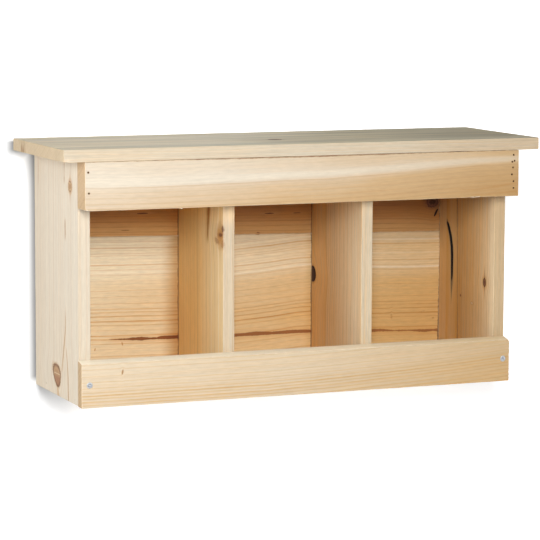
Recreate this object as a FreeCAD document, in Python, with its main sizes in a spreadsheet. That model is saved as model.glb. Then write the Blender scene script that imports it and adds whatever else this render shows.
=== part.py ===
import FreeCAD, Part
import os
import Sketcher
from FreeCAD import Placement, Rotation, Vector

# Open-fronted three-bay nest box of 12 mm softwood boards, hung on a wall.
# Frame: X to the right along the box, Y towards the wall, Z up. The origin is
# under the middle of the roof's outline, at the level of the underside.

doc = FreeCAD.newDocument("terrace_nest_box")
sheet = doc.addObject("Spreadsheet::Sheet", "Dims")

VALUES = [
    # boards
    ("board", 12.0),
    ("roof_length", 500.0),
    ("roof_depth", 165.0),
    ("roof_strip_width", 25.8),
    ("body_height", 236.5),
    ("body_width", 454.0),
    ("body_left", -228.5),
    ("side_depth", 141.0),
    ("back_recess", 3.0),
    ("back_seam_left", 149.4),
    ("back_seam_right", 139.7),
    ("right_seam_foot", 60.0),
    ("right_seam_head", 53.4),
    ("knot_radius", 8.3),
    ("knot_height", 101.2),
    ("knot_inset", 2.5),
    ("knot_depth", 9.0),
    # rails
    ("top_rail_thick", 24.0),
    ("top_rail_height", 46.5),
    ("top_rail_out_left", 0.7),
    ("top_rail_out_right", 2.3),
    ("low_rail_height", 45.0),
    ("low_rail_out", 1.3),
    ("low_rail_corner", 4.0),
    # brads: head, shank and how deep they are punched in
    ("brad_head_radius", 0.95),
    ("brad_head_thick", 0.7),
    ("brad_shank_radius", 0.6),
    ("brad_length", 30.0),
    ("brad_long", 38.0),
    ("brad_sink", 0.8),
    ("brad_room", 0.02),
    # screws that hold the lower rail
    ("screw_head_radius", 3.0),
    ("screw_head_rim", 0.35),
    ("screw_head_cone", 1.6),
    ("screw_shank_radius", 1.5),
    ("screw_length", 28.0),
    ("screw_room", 0.08),
    ("screw_cross_length", 3.4),
    ("screw_cross_width", 0.8),
    ("screw_cross_depth", 1.3),
    ("screw_left_along", 8.2),
    ("screw_left_up", 22.2),
    ("screw_right_along", 448.9),
    ("screw_right_up", 23.3),
    # hanger plates behind the back
    ("hanger_width", 18.0),
    ("hanger_height", 46.0),
    ("hanger_thick", 1.5),
    ("hanger_corner", 5.0),
    ("hanger_spacing", 300.0),
    ("hanger_foot", 186.0),
    ("hanger_entry_up", 20.0),
    ("hanger_entry_radius", 4.25),
    ("hanger_slot_radius", 2.3),
    ("hanger_slot_rise", 9.0),
    ("hanger_pocket_radius", 6.5),
    ("hanger_pocket_depth", 6.0),
    ("hanger_hole_low", 6.5),
    ("hanger_hole_high", 39.5),
    ("hanger_screw_radius", 1.4),
    ("hanger_screw_head_radius", 2.9),
    ("hanger_screw_head_thick", 1.2),
    ("hanger_screw_length", 10.0),
    ("hanger_screw_room", 0.05),
]
for row, (alias, value) in enumerate(VALUES, start=1):
    sheet.set("A%d" % row, alias.replace("_", " "))
    sheet.set("B%d" % row, "%.4f" % value)
    sheet.setAlias("B%d" % row, alias)
doc.recompute()


class Size:
    """A length: its value and the sheet formula that drives it."""

    def __init__(self, value, formula):
        self.value, self.formula = float(value), formula

    @staticmethod
    def of(other):
        return other if isinstance(other, Size) else Size(other, "%.4f" % other)

    def __add__(self, other):
        o = Size.of(other)
        return Size(self.value + o.value, "(%s + %s)" % (self.formula, o.formula))

    def __radd__(self, other):
        return Size.of(other) + self

    def __sub__(self, other):
        o = Size.of(other)
        return Size(self.value - o.value, "(%s - %s)" % (self.formula, o.formula))

    def __rsub__(self, other):
        return Size.of(other) - self

    def __mul__(self, other):
        o = Size.of(other)
        return Size(self.value * o.value, "(%s * %s)" % (self.formula, o.formula))

    def __rmul__(self, other):
        return Size.of(other) * self

    def __truediv__(self, other):
        o = Size.of(other)
        return Size(self.value / o.value, "(%s / %s)" % (self.formula, o.formula))


D = {alias: Size(value, "Dims." + alias) for alias, value in VALUES}
subparts = []


def origin_plane(body, role):
    for feature in body.Origin.OriginFeatures:
        if feature.Role == role:
            return feature
    raise RuntimeError("no plane " + role)


def new_body(label, x, y, z):
    """A body whose local origin is the piece's lowest corner."""
    body = doc.addObject("PartDesign::Body", label)
    body.Label = label
    body.AllowCompound = True
    corner = [Size.of(x), Size.of(y), Size.of(z)]
    body.Placement = Placement(Vector(*[c.value for c in corner]), Rotation())
    for axis, c in zip("xyz", corner):
        body.setExpression("Placement.Base." + axis, c.formula)
    subparts.append(body)
    return body, corner


def new_sketch(body, role, level):
    sketch = body.newObject("Sketcher::SketchObject", body.Name + "_sketch")
    sketch.AttachmentSupport = [(origin_plane(body, role), "")]
    sketch.MapMode = "FlatFace"
    lift = Size.of(level)
    if role == "XZ_Plane":
        lift = 0.0 - lift
    sketch.AttachmentOffset = Placement(Vector(0, 0, lift.value), Rotation())
    sketch.setExpression("AttachmentOffset.Base.z", lift.formula)
    return sketch


def polygon(sketch, points):
    """A closed polygon; every corner is held by its distances to the origin."""
    pts = [(Size.of(a), Size.of(b)) for a, b in points]
    n = len(pts)
    first = sketch.GeometryCount
    for i in range(n):
        a, b = pts[i], pts[(i + 1) % n]
        sketch.addGeometry(
            Part.LineSegment(Vector(a[0].value, a[1].value, 0), Vector(b[0].value, b[1].value, 0)),
            False,
        )
    for i in range(n):
        sketch.addConstraint(
            Sketcher.Constraint("Coincident", first + i, 2, first + (i + 1) % n, 1)
        )
    for i, (a, b) in enumerate(pts):
        hold_point(sketch, first + i, 1, a, b)


def hold_point(sketch, geometry, vertex, a, b):
    for kind, size in (("DistanceX", a), ("DistanceY", b)):
        k = sketch.addConstraint(
            Sketcher.Constraint(kind, -1, 1, geometry, vertex, size.value)
        )
        name = "%s_%d_%d" % (kind, geometry, vertex)
        sketch.renameConstraint(k, name)
        sketch.setExpression("Constraints." + name, size.formula)


def circles(sketch, centres, radius):
    r = Size.of(radius)
    for a, b in centres:
        a, b = Size.of(a), Size.of(b)
        g = sketch.addGeometry(
            Part.Circle(Vector(a.value, b.value, 0), Vector(0, 0, 1), r.value), False
        )
        hold_point(sketch, g, 3, a, b)
        k = sketch.addConstraint(Sketcher.Constraint("Radius", g, r.value))
        sketch.renameConstraint(k, "radius_%d" % g)
        sketch.setExpression("Constraints.radius_%d" % g, r.formula)


def along(role, into):
    """Whether an extrusion of a sketch on this plane is reversed to run towards +axis."""
    normal = -1 if role == "XZ_Plane" else 1
    return into != normal


def grow(body, sketch, role, length, into):
    pad = body.newObject("PartDesign::Pad", body.Name + "_pad")
    pad.Profile = sketch
    pad.Length = Size.of(length).value
    pad.setExpression("Length", Size.of(length).formula)
    pad.Reversed = along(role, into)
    doc.recompute()
    return pad


def carve(body, sketch, role, depth, into):
    before = body.Shape.Volume
    pocket = body.newObject("PartDesign::Pocket", body.Name + "_pocket")
    pocket.Profile = sketch
    pocket.Type = 0
    pocket.Length = Size.of(depth).value
    pocket.setExpression("Length", Size.of(depth).formula)
    pocket.Reversed = not along(role, into)
    doc.recompute()
    if not body.Shape.Volume < before - 1e-3:
        raise RuntimeError("nothing was cut from " + body.Label)
    return pocket


def board_body(label, x, y, z, width, depth, height):
    body, corner = new_body(label, x, y, z)
    sketch = new_sketch(body, "XY_Plane", 0.0)
    polygon(sketch, [(0.0, 0.0), (width, 0.0), (width, depth), (0.0, depth)])
    grow(body, sketch, "XY_Plane", height, +1)
    return body, corner


PLANES = {"X": ("YZ_Plane", 1, 2), "Y": ("XZ_Plane", 0, 2), "Z": ("XY_Plane", 0, 1)}


def drill(piece, axis, level, points, radius, depth, into):
    """Round holes along an axis, from a level, at points given in the box's own frame."""
    body, corner = piece
    role, i, j = PLANES[axis]
    sketch = new_sketch(body, role, Size.of(level) - corner["XYZ".index(axis)])
    circles(sketch, [(Size.of(a) - corner[i], Size.of(b) - corner[j]) for a, b in points], radius)
    carve(body, sketch, role, depth, into)


def brads(label, axis, level, points, length, into):
    """A group of brads: shanks with flat heads, punched a little below the surface."""
    role, i, j = PLANES[axis]
    body, corner = new_body(label, 0.0, 0.0, 0.0)
    top = Size.of(level) + float(into) * D["brad_sink"]
    sketch = new_sketch(body, role, top)
    circles(sketch, points, D["brad_shank_radius"])
    grow(body, sketch, role, length, into)
    sketch = new_sketch(body, role, top)
    circles(sketch, points, D["brad_head_radius"])
    grow(body, sketch, role, D["brad_head_thick"], into)


def brad_entry(piece, axis, level, points, through, into):
    """Holes in the board that a group of brads goes through, with the punched mouths."""
    drill(piece, axis, level, points, D["brad_shank_radius"] + D["brad_room"], through, into)
    drill(
        piece, axis, level, points, D["brad_head_radius"] + D["brad_room"],
        D["brad_sink"] + D["brad_head_thick"] + D["brad_room"], into,
    )


def brad_seat(piece, axis, level, points, length, through, into):
    """Holes in the board that holds the points of a group of brads."""
    depth = D["brad_sink"] + length - through + 0.2
    drill(piece, axis, level, points, D["brad_shank_radius"] + D["brad_room"], depth, into)


# Levels that the boards share.
board = D["board"]
left = D["body_left"]
right = left + D["body_width"]
wall = D["roof_depth"] / 2.0
front = wall - D["side_depth"]
underside = D["body_height"]
top = underside + board
back_rear = wall - D["back_recess"]
back_front = back_rear - board
inner_depth = back_front - front
inner_left = left + board
inner_right = right - board
inner_width = inner_right - inner_left
bay = (inner_width - 2.0 * board) / 3.0
divider_a = inner_left + bay
divider_b = divider_a + board + bay
roof_left = 0.0 - D["roof_length"] / 2.0
roof_front = 0.0 - wall
roof_seam = wall - D["roof_strip_width"]
rail_z = underside - D["top_rail_height"]
rail_front = front - D["top_rail_thick"]
low_front = front - board

# Roof: a wide board and a narrow strip edge-glued behind it.
roof_front_board = board_body(
    "roof_front_board", roof_left, roof_front, underside,
    D["roof_length"], roof_seam - roof_front, board,
)
roof_rear_strip = board_body(
    "roof_rear_strip", roof_left, roof_seam, underside,
    D["roof_length"], D["roof_strip_width"], board,
)

# Back: two boards edge-glued along a seam that runs a little downhill to the right,
# standing between the sides and set in from the wall.
back_lower_board = new_body("back_lower_board", inner_left, back_front, 0.0)
sketch = new_sketch(back_lower_board[0], "XZ_Plane", 0.0)
polygon(sketch, [
    (0.0, 0.0), (inner_width, 0.0),
    (inner_width, D["back_seam_right"]), (0.0, D["back_seam_left"]),
])
grow(back_lower_board[0], sketch, "XZ_Plane", board, +1)
back_upper_board = new_body("back_upper_board", inner_left, back_front, 0.0)
sketch = new_sketch(back_upper_board[0], "XZ_Plane", 0.0)
polygon(sketch, [
    (0.0, D["back_seam_left"]), (inner_width, D["back_seam_right"]),
    (inner_width, underside), (0.0, underside),
])
grow(back_upper_board[0], sketch, "XZ_Plane", board, +1)

# Left side: one board. Right side: a board and a strip, with a leaning seam.
left_side_board = board_body(
    "left_side_board", left, front, 0.0, board, D["side_depth"], underside,
)
seam_foot = D["side_depth"] - 1.0 * D["right_seam_foot"]
seam_head = D["side_depth"] - 1.0 * D["right_seam_head"]
right_side_front_board = new_body("right_side_front_board", inner_right, front, 0.0)
sketch = new_sketch(right_side_front_board[0], "YZ_Plane", 0.0)
polygon(sketch, [(0.0, 0.0), (seam_foot, 0.0), (seam_head, underside), (0.0, underside)])
grow(right_side_front_board[0], sketch, "YZ_Plane", board, +1)
right_side_rear_strip = new_body("right_side_rear_strip", inner_right, front, 0.0)
sketch = new_sketch(right_side_rear_strip[0], "YZ_Plane", 0.0)
polygon(sketch, [
    (seam_foot, 0.0), (D["side_depth"], 0.0),
    (D["side_depth"], underside), (seam_head, underside),
])
grow(right_side_rear_strip[0], sketch, "YZ_Plane", board, +1)

# Floor between the sides, and two dividers standing on it.
floor_board = board_body("floor_board", inner_left, front, 0.0, inner_width, inner_depth, board)
left_divider = board_body(
    "left_divider", divider_a, front, board, board, inner_depth, underside - board,
)
right_divider = board_body(
    "right_divider", divider_b, front, board, board, inner_depth, underside - board,
)
# A knot has fallen out of the right divider at its rear edge.
drill(
    right_divider, "X", divider_b, [(back_front - D["knot_inset"], D["knot_height"])],
    D["knot_radius"], D["knot_depth"], +1,
)

# Rails across the front. The lower rail's right upper corner is worn round.
top_front_rail = board_body(
    "top_front_rail", left - D["top_rail_out_left"], rail_front, rail_z,
    D["body_width"] + D["top_rail_out_left"] + D["top_rail_out_right"],
    D["top_rail_thick"], D["top_rail_height"],
)
low_left = left - D["low_rail_out"]
low_length = D["body_width"] + 2.0 * D["low_rail_out"]
bottom_front_rail = board_body(
    "bottom_front_rail", low_left, low_front, 0.0, low_length, board, D["low_rail_height"],
)
body = bottom_front_rail[0]
worn = []
for n, edge in enumerate(body.Tip.Shape.Edges, start=1):
    ends = [v.Point for v in edge.Vertexes]
    if all(
        abs(p.x - low_length.value) < 1e-4 and abs(p.z - D["low_rail_height"].value) < 1e-4
        for p in ends
    ):
        worn.append("Edge%d" % n)
corner_round = body.newObject("PartDesign::Fillet", "worn_corner")
corner_round.Base = (body.Tip if body.Tip is not corner_round else corner_round.BaseFeature, worn)
corner_round.Radius = D["low_rail_corner"].value
corner_round.setExpression("Radius", D["low_rail_corner"].formula)
doc.recompute()

# Brads through the top rail into the front edges of the sides.
rail_left_points = [(-225.9, 226.7), (-225.3, 207.0)]
rail_right_points = [
    (221.9, 231.6), (220.4, 224.7), (223.0, 225.6), (221.3, 219.0),
    (220.1, 212.0), (222.0, 205.1), (222.1, 198.3),
]
brads("top_rail_brads_left", "Y", rail_front, rail_left_points, D["brad_long"], +1)
brads("top_rail_brads_right", "Y", rail_front, rail_right_points, D["brad_long"], +1)
brad_entry(top_front_rail, "Y", rail_front, rail_left_points + rail_right_points, D["top_rail_thick"], +1)
brad_seat(left_side_board, "Y", front, rail_left_points, D["brad_long"], D["top_rail_thick"], +1)
brad_seat(right_side_front_board, "Y", front, rail_right_points, D["brad_long"], D["top_rail_thick"], +1)

# Brads down through the roof into the sides and the dividers.
roof_left_points = [(-222.0, -36.0), (-220.5, 1.3), (-222.8, 44.0)]
roof_right_points = [(219.0, -38.0), (220.2, 2.0)]
roof_right_rear = [(222.0, 41.6)]
mid_a, mid_b = divider_a + board / 2.0, divider_b + board / 2.0
roof_a_points = [(mid_a, -34.0), (mid_a, 31.0)]
roof_b_points = [(mid_b, -31.0), (mid_b, 36.0)]
brads("roof_brads_left", "Z", top, roof_left_points, D["brad_length"], -1)
brads("roof_brads_right", "Z", top, roof_right_points + roof_right_rear, D["brad_length"], -1)
brads("roof_brads_middle", "Z", top, roof_a_points + roof_b_points, D["brad_length"], -1)
brad_entry(
    roof_front_board, "Z", top,
    roof_left_points + roof_right_points + roof_right_rear + roof_a_points + roof_b_points, board, -1,
)
brad_seat(left_side_board, "Z", underside, roof_left_points, D["brad_length"], board, -1)
brad_seat(right_side_front_board, "Z", underside, roof_right_points, D["brad_length"], board, -1)
brad_seat(right_side_rear_strip, "Z", underside, roof_right_rear, D["brad_length"], board, -1)
brad_seat(left_divider, "Z", underside, roof_a_points, D["brad_length"], board, -1)
brad_seat(right_divider, "Z", underside, roof_b_points, D["brad_length"], board, -1)

# Brads through the sides into the ends of the floor.
side_left_points = [(-45.3, 4.3), (48.0, 6.4)]
side_right_front = [(-43.0, 5.6)]
side_right_rear = [(49.0, 6.2)]
brads("side_brads_left", "X", left, side_left_points, D["brad_length"], +1)
brads("side_brads_right", "X", right, side_right_front + side_right_rear, D["brad_length"], -1)
brad_entry(left_side_board, "X", left, side_left_points, board, +1)
brad_entry(right_side_front_board, "X", right, side_right_front, board, -1)
brad_entry(right_side_rear_strip, "X", right, side_right_rear, board, -1)
brad_seat(floor_board, "X", inner_left, side_left_points, D["brad_length"], board, +1)
brad_seat(floor_board, "X", inner_right, side_right_front + side_right_rear, D["brad_length"], board, -1)

# Brads up through the floor into the dividers.
floor_a_points = [(mid_a, -32.0), (mid_a, 36.0)]
floor_b_points = [(mid_b, -35.0), (mid_b, 33.0)]
brads("floor_brads", "Z", 0.0, floor_a_points + floor_b_points, D["brad_length"], +1)
brad_entry(floor_board, "Z", 0.0, floor_a_points + floor_b_points, board, +1)
brad_seat(left_divider, "Z", board, floor_a_points, D["brad_length"], board, +1)
brad_seat(right_divider, "Z", board, floor_b_points, D["brad_length"], board, +1)

# Brads through the back into the rear edges of the dividers and the floor.
back_low_points = [(mid_a, 62.0), (mid_b, 58.0)]
back_high_points = [(mid_a, 188.0), (mid_b, 192.0)]
back_floor_points = [(-152.0, 6.0), (-4.0, 5.2), (149.0, 6.6)]
brads(
    "back_brads", "Y", back_rear,
    back_low_points + back_high_points + back_floor_points, D["brad_length"], -1,
)
brad_entry(back_lower_board, "Y", back_rear, back_low_points + back_floor_points, board, -1)
brad_entry(back_upper_board, "Y", back_rear, back_high_points, board, -1)
brad_seat(left_divider, "Y", back_front, [back_low_points[0], back_high_points[0]], D["brad_length"], board, -1)
brad_seat(right_divider, "Y", back_front, [back_low_points[1], back_high_points[1]], D["brad_length"], board, -1)
brad_seat(floor_board, "Y", back_front, back_floor_points, D["brad_length"], board, -1)


# Two countersunk cross-head screws hold the lower rail to the sides' front edges.
def rail_screw(label, along_rail, up):
    x, z = low_left + along_rail, Size.of(up)
    rim, cone, r_head = D["screw_head_rim"], D["screw_head_cone"], D["screw_head_radius"]
    r_shank = D["screw_shank_radius"]
    face = low_front + 0.1

    def placed(kind, name, y):
        piece = doc.addObject(kind, label + "_" + name)
        # the local Z axis of a round piece points into the wood
        piece.Placement = Placement(Vector(x.value, y.value, z.value), Rotation(Vector(1, 0, 0), -90))
        for axis, size in zip("xyz", (x, y, z)):
            piece.setExpression("Placement.Base." + axis, size.formula)
        return piece

    disc = placed("Part::Cylinder", "rim", face)
    disc.setExpression("Radius", r_head.formula)
    disc.setExpression("Height", rim.formula)
    taper = placed("Part::Cone", "taper", face + rim)
    taper.setExpression("Radius1", r_head.formula)
    taper.setExpression("Radius2", r_shank.formula)
    taper.setExpression("Height", cone.formula)
    tip_length = 3.0
    shank = placed("Part::Cylinder", "shank", face + rim + cone)
    shank.setExpression("Radius", r_shank.formula)
    shank.setExpression("Height", (D["screw_length"] - rim - cone - tip_length).formula)
    tip = placed("Part::Cone", "tip", face + D["screw_length"] - tip_length)
    tip.setExpression("Radius1", r_shank.formula)
    tip.Radius2 = 0.25
    tip.Height = tip_length
    whole = doc.addObject("Part::MultiFuse", label + "_blank")
    whole.Shapes = [disc, taper, shank, tip]
    bars = []
    for name, w, t in (
        ("bar_a", D["screw_cross_length"], D["screw_cross_width"]),
        ("bar_b", D["screw_cross_width"], D["screw_cross_length"]),
    ):
        bar = doc.addObject("Part::Box", label + "_" + name)
        bar.setExpression("Length", w.formula)
        bar.setExpression("Height", t.formula)
        bar.setExpression("Width", (D["screw_cross_depth"] + 0.2).formula)
        for axis, size in zip("xyz", (x - w / 2.0, face - 0.2, z - t / 2.0)):
            bar.setExpression("Placement.Base." + axis, size.formula)
        bars.append(bar)
    cross = doc.addObject("Part::Fuse", label + "_cross")
    cross.Base, cross.Tool = bars
    screw = doc.addObject("Part::Cut", label)
    screw.Label = label
    screw.Base, screw.Tool = whole, cross
    subparts.append(screw)

    # the countersunk clearance hole in the rail and the hole in the side's edge
    room = D["screw_room"]
    drill(bottom_front_rail, "Y", low_front, [(x, z)], r_shank + room, board, +1)
    drill(bottom_front_rail, "Y", low_front, [(x, z)], r_head + room, rim + 0.1 + room, +1)
    sink = doc.addObject("Part::Cone", label + "_sink")
    sink.Placement = Placement(Vector(), Rotation(Vector(1, 0, 0), -90))
    for axis, size in zip("xyz", (x, face + rim + room, z)):
        sink.setExpression("Placement.Base." + axis, size.formula)
    sink.setExpression("Radius1", (r_head + room).formula)
    sink.setExpression("Radius2", (r_shank + room).formula)
    sink.setExpression("Height", cone.formula)
    return sink, (x, z)


sink_left, screw_left_at = rail_screw(
    "bottom_rail_screw_left", D["screw_left_along"], D["screw_left_up"]
)
sink_right, screw_right_at = rail_screw(
    "bottom_rail_screw_right", D["screw_right_along"], D["screw_right_up"]
)
depth = D["screw_length"] - board + 0.6
drill(left_side_board, "Y", front, [screw_left_at], D["screw_shank_radius"] + D["screw_room"], depth, +1)
drill(right_side_front_board, "Y", front, [screw_right_at], D["screw_shank_radius"] + D["screw_room"], depth, +1)

# The rail with both countersinks cut into it is the finished piece.
sinks = doc.addObject("Part::MultiFuse", "rail_countersinks")
sinks.Shapes = [sink_left, sink_right]
blank = bottom_front_rail[0]
blank.Label = "bottom_front_rail_blank"
rail = doc.addObject("Part::Cut", "bottom_front_rail_cut")
rail.Label = "bottom_front_rail"
rail.Base, rail.Tool = blank, sinks
subparts[subparts.index(blank)] = rail

# Two steel hanger plates on the rear of the back, each with a keyhole for a wall
# screw, over a pocket that gives the screw's head room.
hang_left = 0.0 - D["hanger_spacing"] / 2.0
hang_right = D["hanger_spacing"] / 2.0
entry_z = D["hanger_foot"] + D["hanger_entry_up"]
slot_z = entry_z + D["hanger_slot_rise"]
screw_low = D["hanger_foot"] + D["hanger_hole_low"]
screw_high = D["hanger_foot"] + D["hanger_hole_high"]
plate_front = back_rear
plate_rear = back_rear + D["hanger_thick"]
for label, x in (("left_hanger_plate", hang_left), ("right_hanger_plate", hang_right)):
    plate = board_body(
        label, x - D["hanger_width"] / 2.0, plate_front, D["hanger_foot"],
        D["hanger_width"], D["hanger_thick"], D["hanger_height"],
    )
    body = plate[0]
    upright = []
    for n, edge in enumerate(body.Tip.Shape.Edges, start=1):
        ends = [v.Point for v in edge.Vertexes]
        if abs(ends[0].x - ends[1].x) < 1e-6 and abs(ends[0].z - ends[1].z) < 1e-6:
            upright.append("Edge%d" % n)
    pad = body.Tip
    soft = body.newObject("PartDesign::Fillet", label + "_corners")
    soft.Base = (pad, upright)
    soft.Radius = D["hanger_corner"].value
    soft.setExpression("Radius", D["hanger_corner"].formula)
    doc.recompute()
    drill(plate, "Y", plate_rear, [(x, entry_z)], D["hanger_entry_radius"], D["hanger_thick"], -1)
    r = D["hanger_slot_radius"]
    corner = plate[1]
    sketch = new_sketch(body, "XZ_Plane", plate_rear - corner[1])
    polygon(sketch, [
        (x - r - corner[0], entry_z - corner[2]), (x + r - corner[0], entry_z - corner[2]),
        (x + r - corner[0], slot_z - corner[2]), (x - r - corner[0], slot_z - corner[2]),
    ])
    carve(body, sketch, "XZ_Plane", D["hanger_thick"], -1)
    drill(plate, "Y", plate_rear, [(x, slot_z)], r, D["hanger_thick"], -1)
    drill(
        plate, "Y", plate_rear, [(x, screw_low), (x, screw_high)],
        D["hanger_screw_radius"] + D["hanger_screw_room"], D["hanger_thick"], -1,
    )
    # pocket in the back board
    rp = D["hanger_pocket_radius"]
    drill(back_upper_board, "Y", back_rear, [(x, entry_z)], rp, D["hanger_pocket_depth"], -1)
    drill(back_upper_board, "Y", back_rear, [(x, slot_z)], rp, D["hanger_pocket_depth"], -1)
    corner = back_upper_board[1]
    sketch = new_sketch(back_upper_board[0], "XZ_Plane", back_rear - corner[1])
    polygon(sketch, [
        (x - rp - corner[0], entry_z), (x + rp - corner[0], entry_z),
        (x + rp - corner[0], slot_z), (x - rp - corner[0], slot_z),
    ])
    carve(back_upper_board[0], sketch, "XZ_Plane", D["hanger_pocket_depth"], -1)

# Round-head screws that hold the plates.
screw_points = [(x, z) for x in (hang_left, hang_right) for z in (screw_low, screw_high)]
body, corner = new_body("hanger_screws", 0.0, 0.0, 0.0)
sketch = new_sketch(body, "XZ_Plane", plate_rear)
circles(sketch, screw_points, D["hanger_screw_head_radius"])
grow(body, sketch, "XZ_Plane", D["hanger_screw_head_thick"], +1)
sketch = new_sketch(body, "XZ_Plane", plate_rear)
circles(sketch, screw_points, D["hanger_screw_radius"])
grow(body, sketch, "XZ_Plane", D["hanger_screw_length"], -1)
drill(
    back_upper_board, "Y", back_rear, screw_points,
    D["hanger_screw_radius"] + D["hanger_screw_room"],
    D["hanger_screw_length"] - D["hanger_thick"] + 0.2, -1,
)

doc.recompute()
failed = [o.Label for o in doc.Objects if "Invalid" in o.State or "Error" in o.State]
if failed:
    raise RuntimeError("failed: " + ", ".join(failed))
for piece in subparts:
    if piece.Shape.isNull() or not piece.Shape.isValid():
        raise RuntimeError("bad shape: " + piece.Label)

os.makedirs("parts", exist_ok=True)
for piece in subparts:
    piece.Shape.exportStep("parts/%s.step" % piece.Label)
    box = piece.Shape.BoundBox
    print(
        "%-26s solids %d volume %10.1f  X %7.1f %7.1f  Y %6.1f %6.1f  Z %6.1f %6.1f"
        % (
            piece.Label, len(piece.Shape.Solids), piece.Shape.Volume,
            box.XMin, box.XMax, box.YMin, box.YMax, box.ZMin, box.ZMax,
        )
    )
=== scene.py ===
import math

import bmesh
import bpy
import numpy as np
from mathutils import Matrix, Vector, noise


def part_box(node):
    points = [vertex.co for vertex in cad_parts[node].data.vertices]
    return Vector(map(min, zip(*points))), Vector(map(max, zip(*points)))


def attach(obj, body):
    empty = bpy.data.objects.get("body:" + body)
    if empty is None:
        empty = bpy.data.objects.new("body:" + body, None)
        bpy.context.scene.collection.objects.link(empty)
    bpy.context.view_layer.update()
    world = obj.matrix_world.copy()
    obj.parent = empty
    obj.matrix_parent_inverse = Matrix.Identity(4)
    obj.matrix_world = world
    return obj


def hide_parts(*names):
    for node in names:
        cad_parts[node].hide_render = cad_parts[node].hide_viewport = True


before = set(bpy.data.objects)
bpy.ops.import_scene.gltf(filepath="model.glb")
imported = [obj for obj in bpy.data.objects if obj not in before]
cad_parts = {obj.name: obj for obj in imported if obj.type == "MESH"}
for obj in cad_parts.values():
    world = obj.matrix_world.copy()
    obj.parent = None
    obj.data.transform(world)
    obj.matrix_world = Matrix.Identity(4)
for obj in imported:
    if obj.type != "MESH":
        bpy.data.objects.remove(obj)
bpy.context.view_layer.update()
scene = bpy.context.scene
MM = 0.001


# ---------------------------------------------------------------- node helpers


class Nodes:
    """A material's node tree, with short calls for the nodes that the materials use."""

    def __init__(self, name):
        self.mat = bpy.data.materials.new(name)
        self.mat.use_nodes = True
        self.tree = self.mat.node_tree
        self.tree.nodes.clear()

    def node(self, kind, **props):
        made = self.tree.nodes.new(kind)
        for key, value in props.items():
            setattr(made, key, value)
        return made

    def put(self, socket, value):
        if isinstance(value, bpy.types.NodeSocket):
            self.tree.links.new(value, socket)
        elif value is not None:
            if socket.type == "RGBA" and not isinstance(value, (int, float)):
                value = tuple(value)[:3] + (1.0,)
            socket.default_value = value

    def math(self, op, a, b=None, c=None, clamp=False):
        made = self.node("ShaderNodeMath", operation=op, use_clamp=clamp)
        for socket, value in zip(made.inputs, (a, b, c)):
            self.put(socket, value)
        return made.outputs[0]

    def add(self, a, b):
        return self.math("ADD", a, b)

    def sub(self, a, b):
        return self.math("SUBTRACT", a, b)

    def mul(self, a, b):
        return self.math("MULTIPLY", a, b)

    def muladd(self, a, b, c):
        return self.math("MULTIPLY_ADD", a, b, c)

    def vec(self, x, y, z):
        made = self.node("ShaderNodeCombineXYZ")
        for socket, value in zip(made.inputs, (x, y, z)):
            self.put(socket, value)
        return made.outputs[0]

    def span(self, value, a, b, lo=0.0, hi=1.0, kind="SMOOTHSTEP"):
        made = self.node("ShaderNodeMapRange", interpolation_type=kind, clamp=True)
        for key, v in (
            ("Value", value),
            ("From Min", a),
            ("From Max", b),
            ("To Min", lo),
            ("To Max", hi),
        ):
            self.put(made.inputs[key], v)
        return made.outputs[0]

    def noise(self, vector, detail=2.0, rough=0.5, scale=1.0, distort=0.0):
        made = self.node("ShaderNodeTexNoise", noise_dimensions="3D", normalize=True)
        self.put(made.inputs["Vector"], vector)
        self.put(made.inputs["Scale"], scale)
        self.put(made.inputs["Detail"], detail)
        self.put(made.inputs["Roughness"], rough)
        self.put(made.inputs["Distortion"], distort)
        return made.outputs[0]

    def chance(self, value):
        made = self.node("ShaderNodeTexWhiteNoise", noise_dimensions="1D")
        self.put(made.inputs["W"], value)
        return made.outputs["Value"]

    def ramp(self, value, points, lo, hi):
        """A grey curve through points (place, height) over lo..hi. Heights are from 0 to 1."""
        made = self.node("ShaderNodeValToRGB")
        self.put(made.inputs[0], self.span(value, lo, hi, kind="LINEAR"))
        stops = made.color_ramp.elements
        while len(stops) > 1:
            stops.remove(stops[-1])
        for n, (place, height) in enumerate(sorted(points)):
            at = min(1.0, max(0.0, (place - lo) / (hi - lo)))
            stop = stops[0] if n == 0 else stops.new(at)
            stop.position = at
            stop.color = (height, height, height, 1.0)
        return made.outputs[0]

    def curve(self, value, points):
        """The curve through points (place, height), with heights of any size."""
        places = [p[0] for p in points]
        heights = [p[1] for p in points]
        low, high = min(heights), max(heights)
        if high - low < 1e-6:
            return self.math("ADD", low, 0.0)
        flat = [(p, (v - low) / (high - low)) for p, v in points]
        return self.muladd(self.ramp(value, flat, min(places), max(places)), high - low, low)

    def mix(self, factor, a, b, mode="MIX"):
        made = self.node("ShaderNodeMix", data_type="RGBA", blend_type=mode, clamp_factor=True)
        self.put(made.inputs[0], factor)
        self.put(made.inputs[6], a)
        self.put(made.inputs[7], b)
        return made.outputs[2]


# ---------------------------------------------------------------- wood

PALE = (0.79, 0.66, 0.475)
TAN = (0.66, 0.455, 0.25)
GOLD = (0.66, 0.38, 0.145)
LATE = (0.54, 0.29, 0.105)
BROWN = (0.27, 0.12, 0.05)
STREAK = (0.245, 0.082, 0.026)
DARK = (0.045, 0.022, 0.013)


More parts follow.
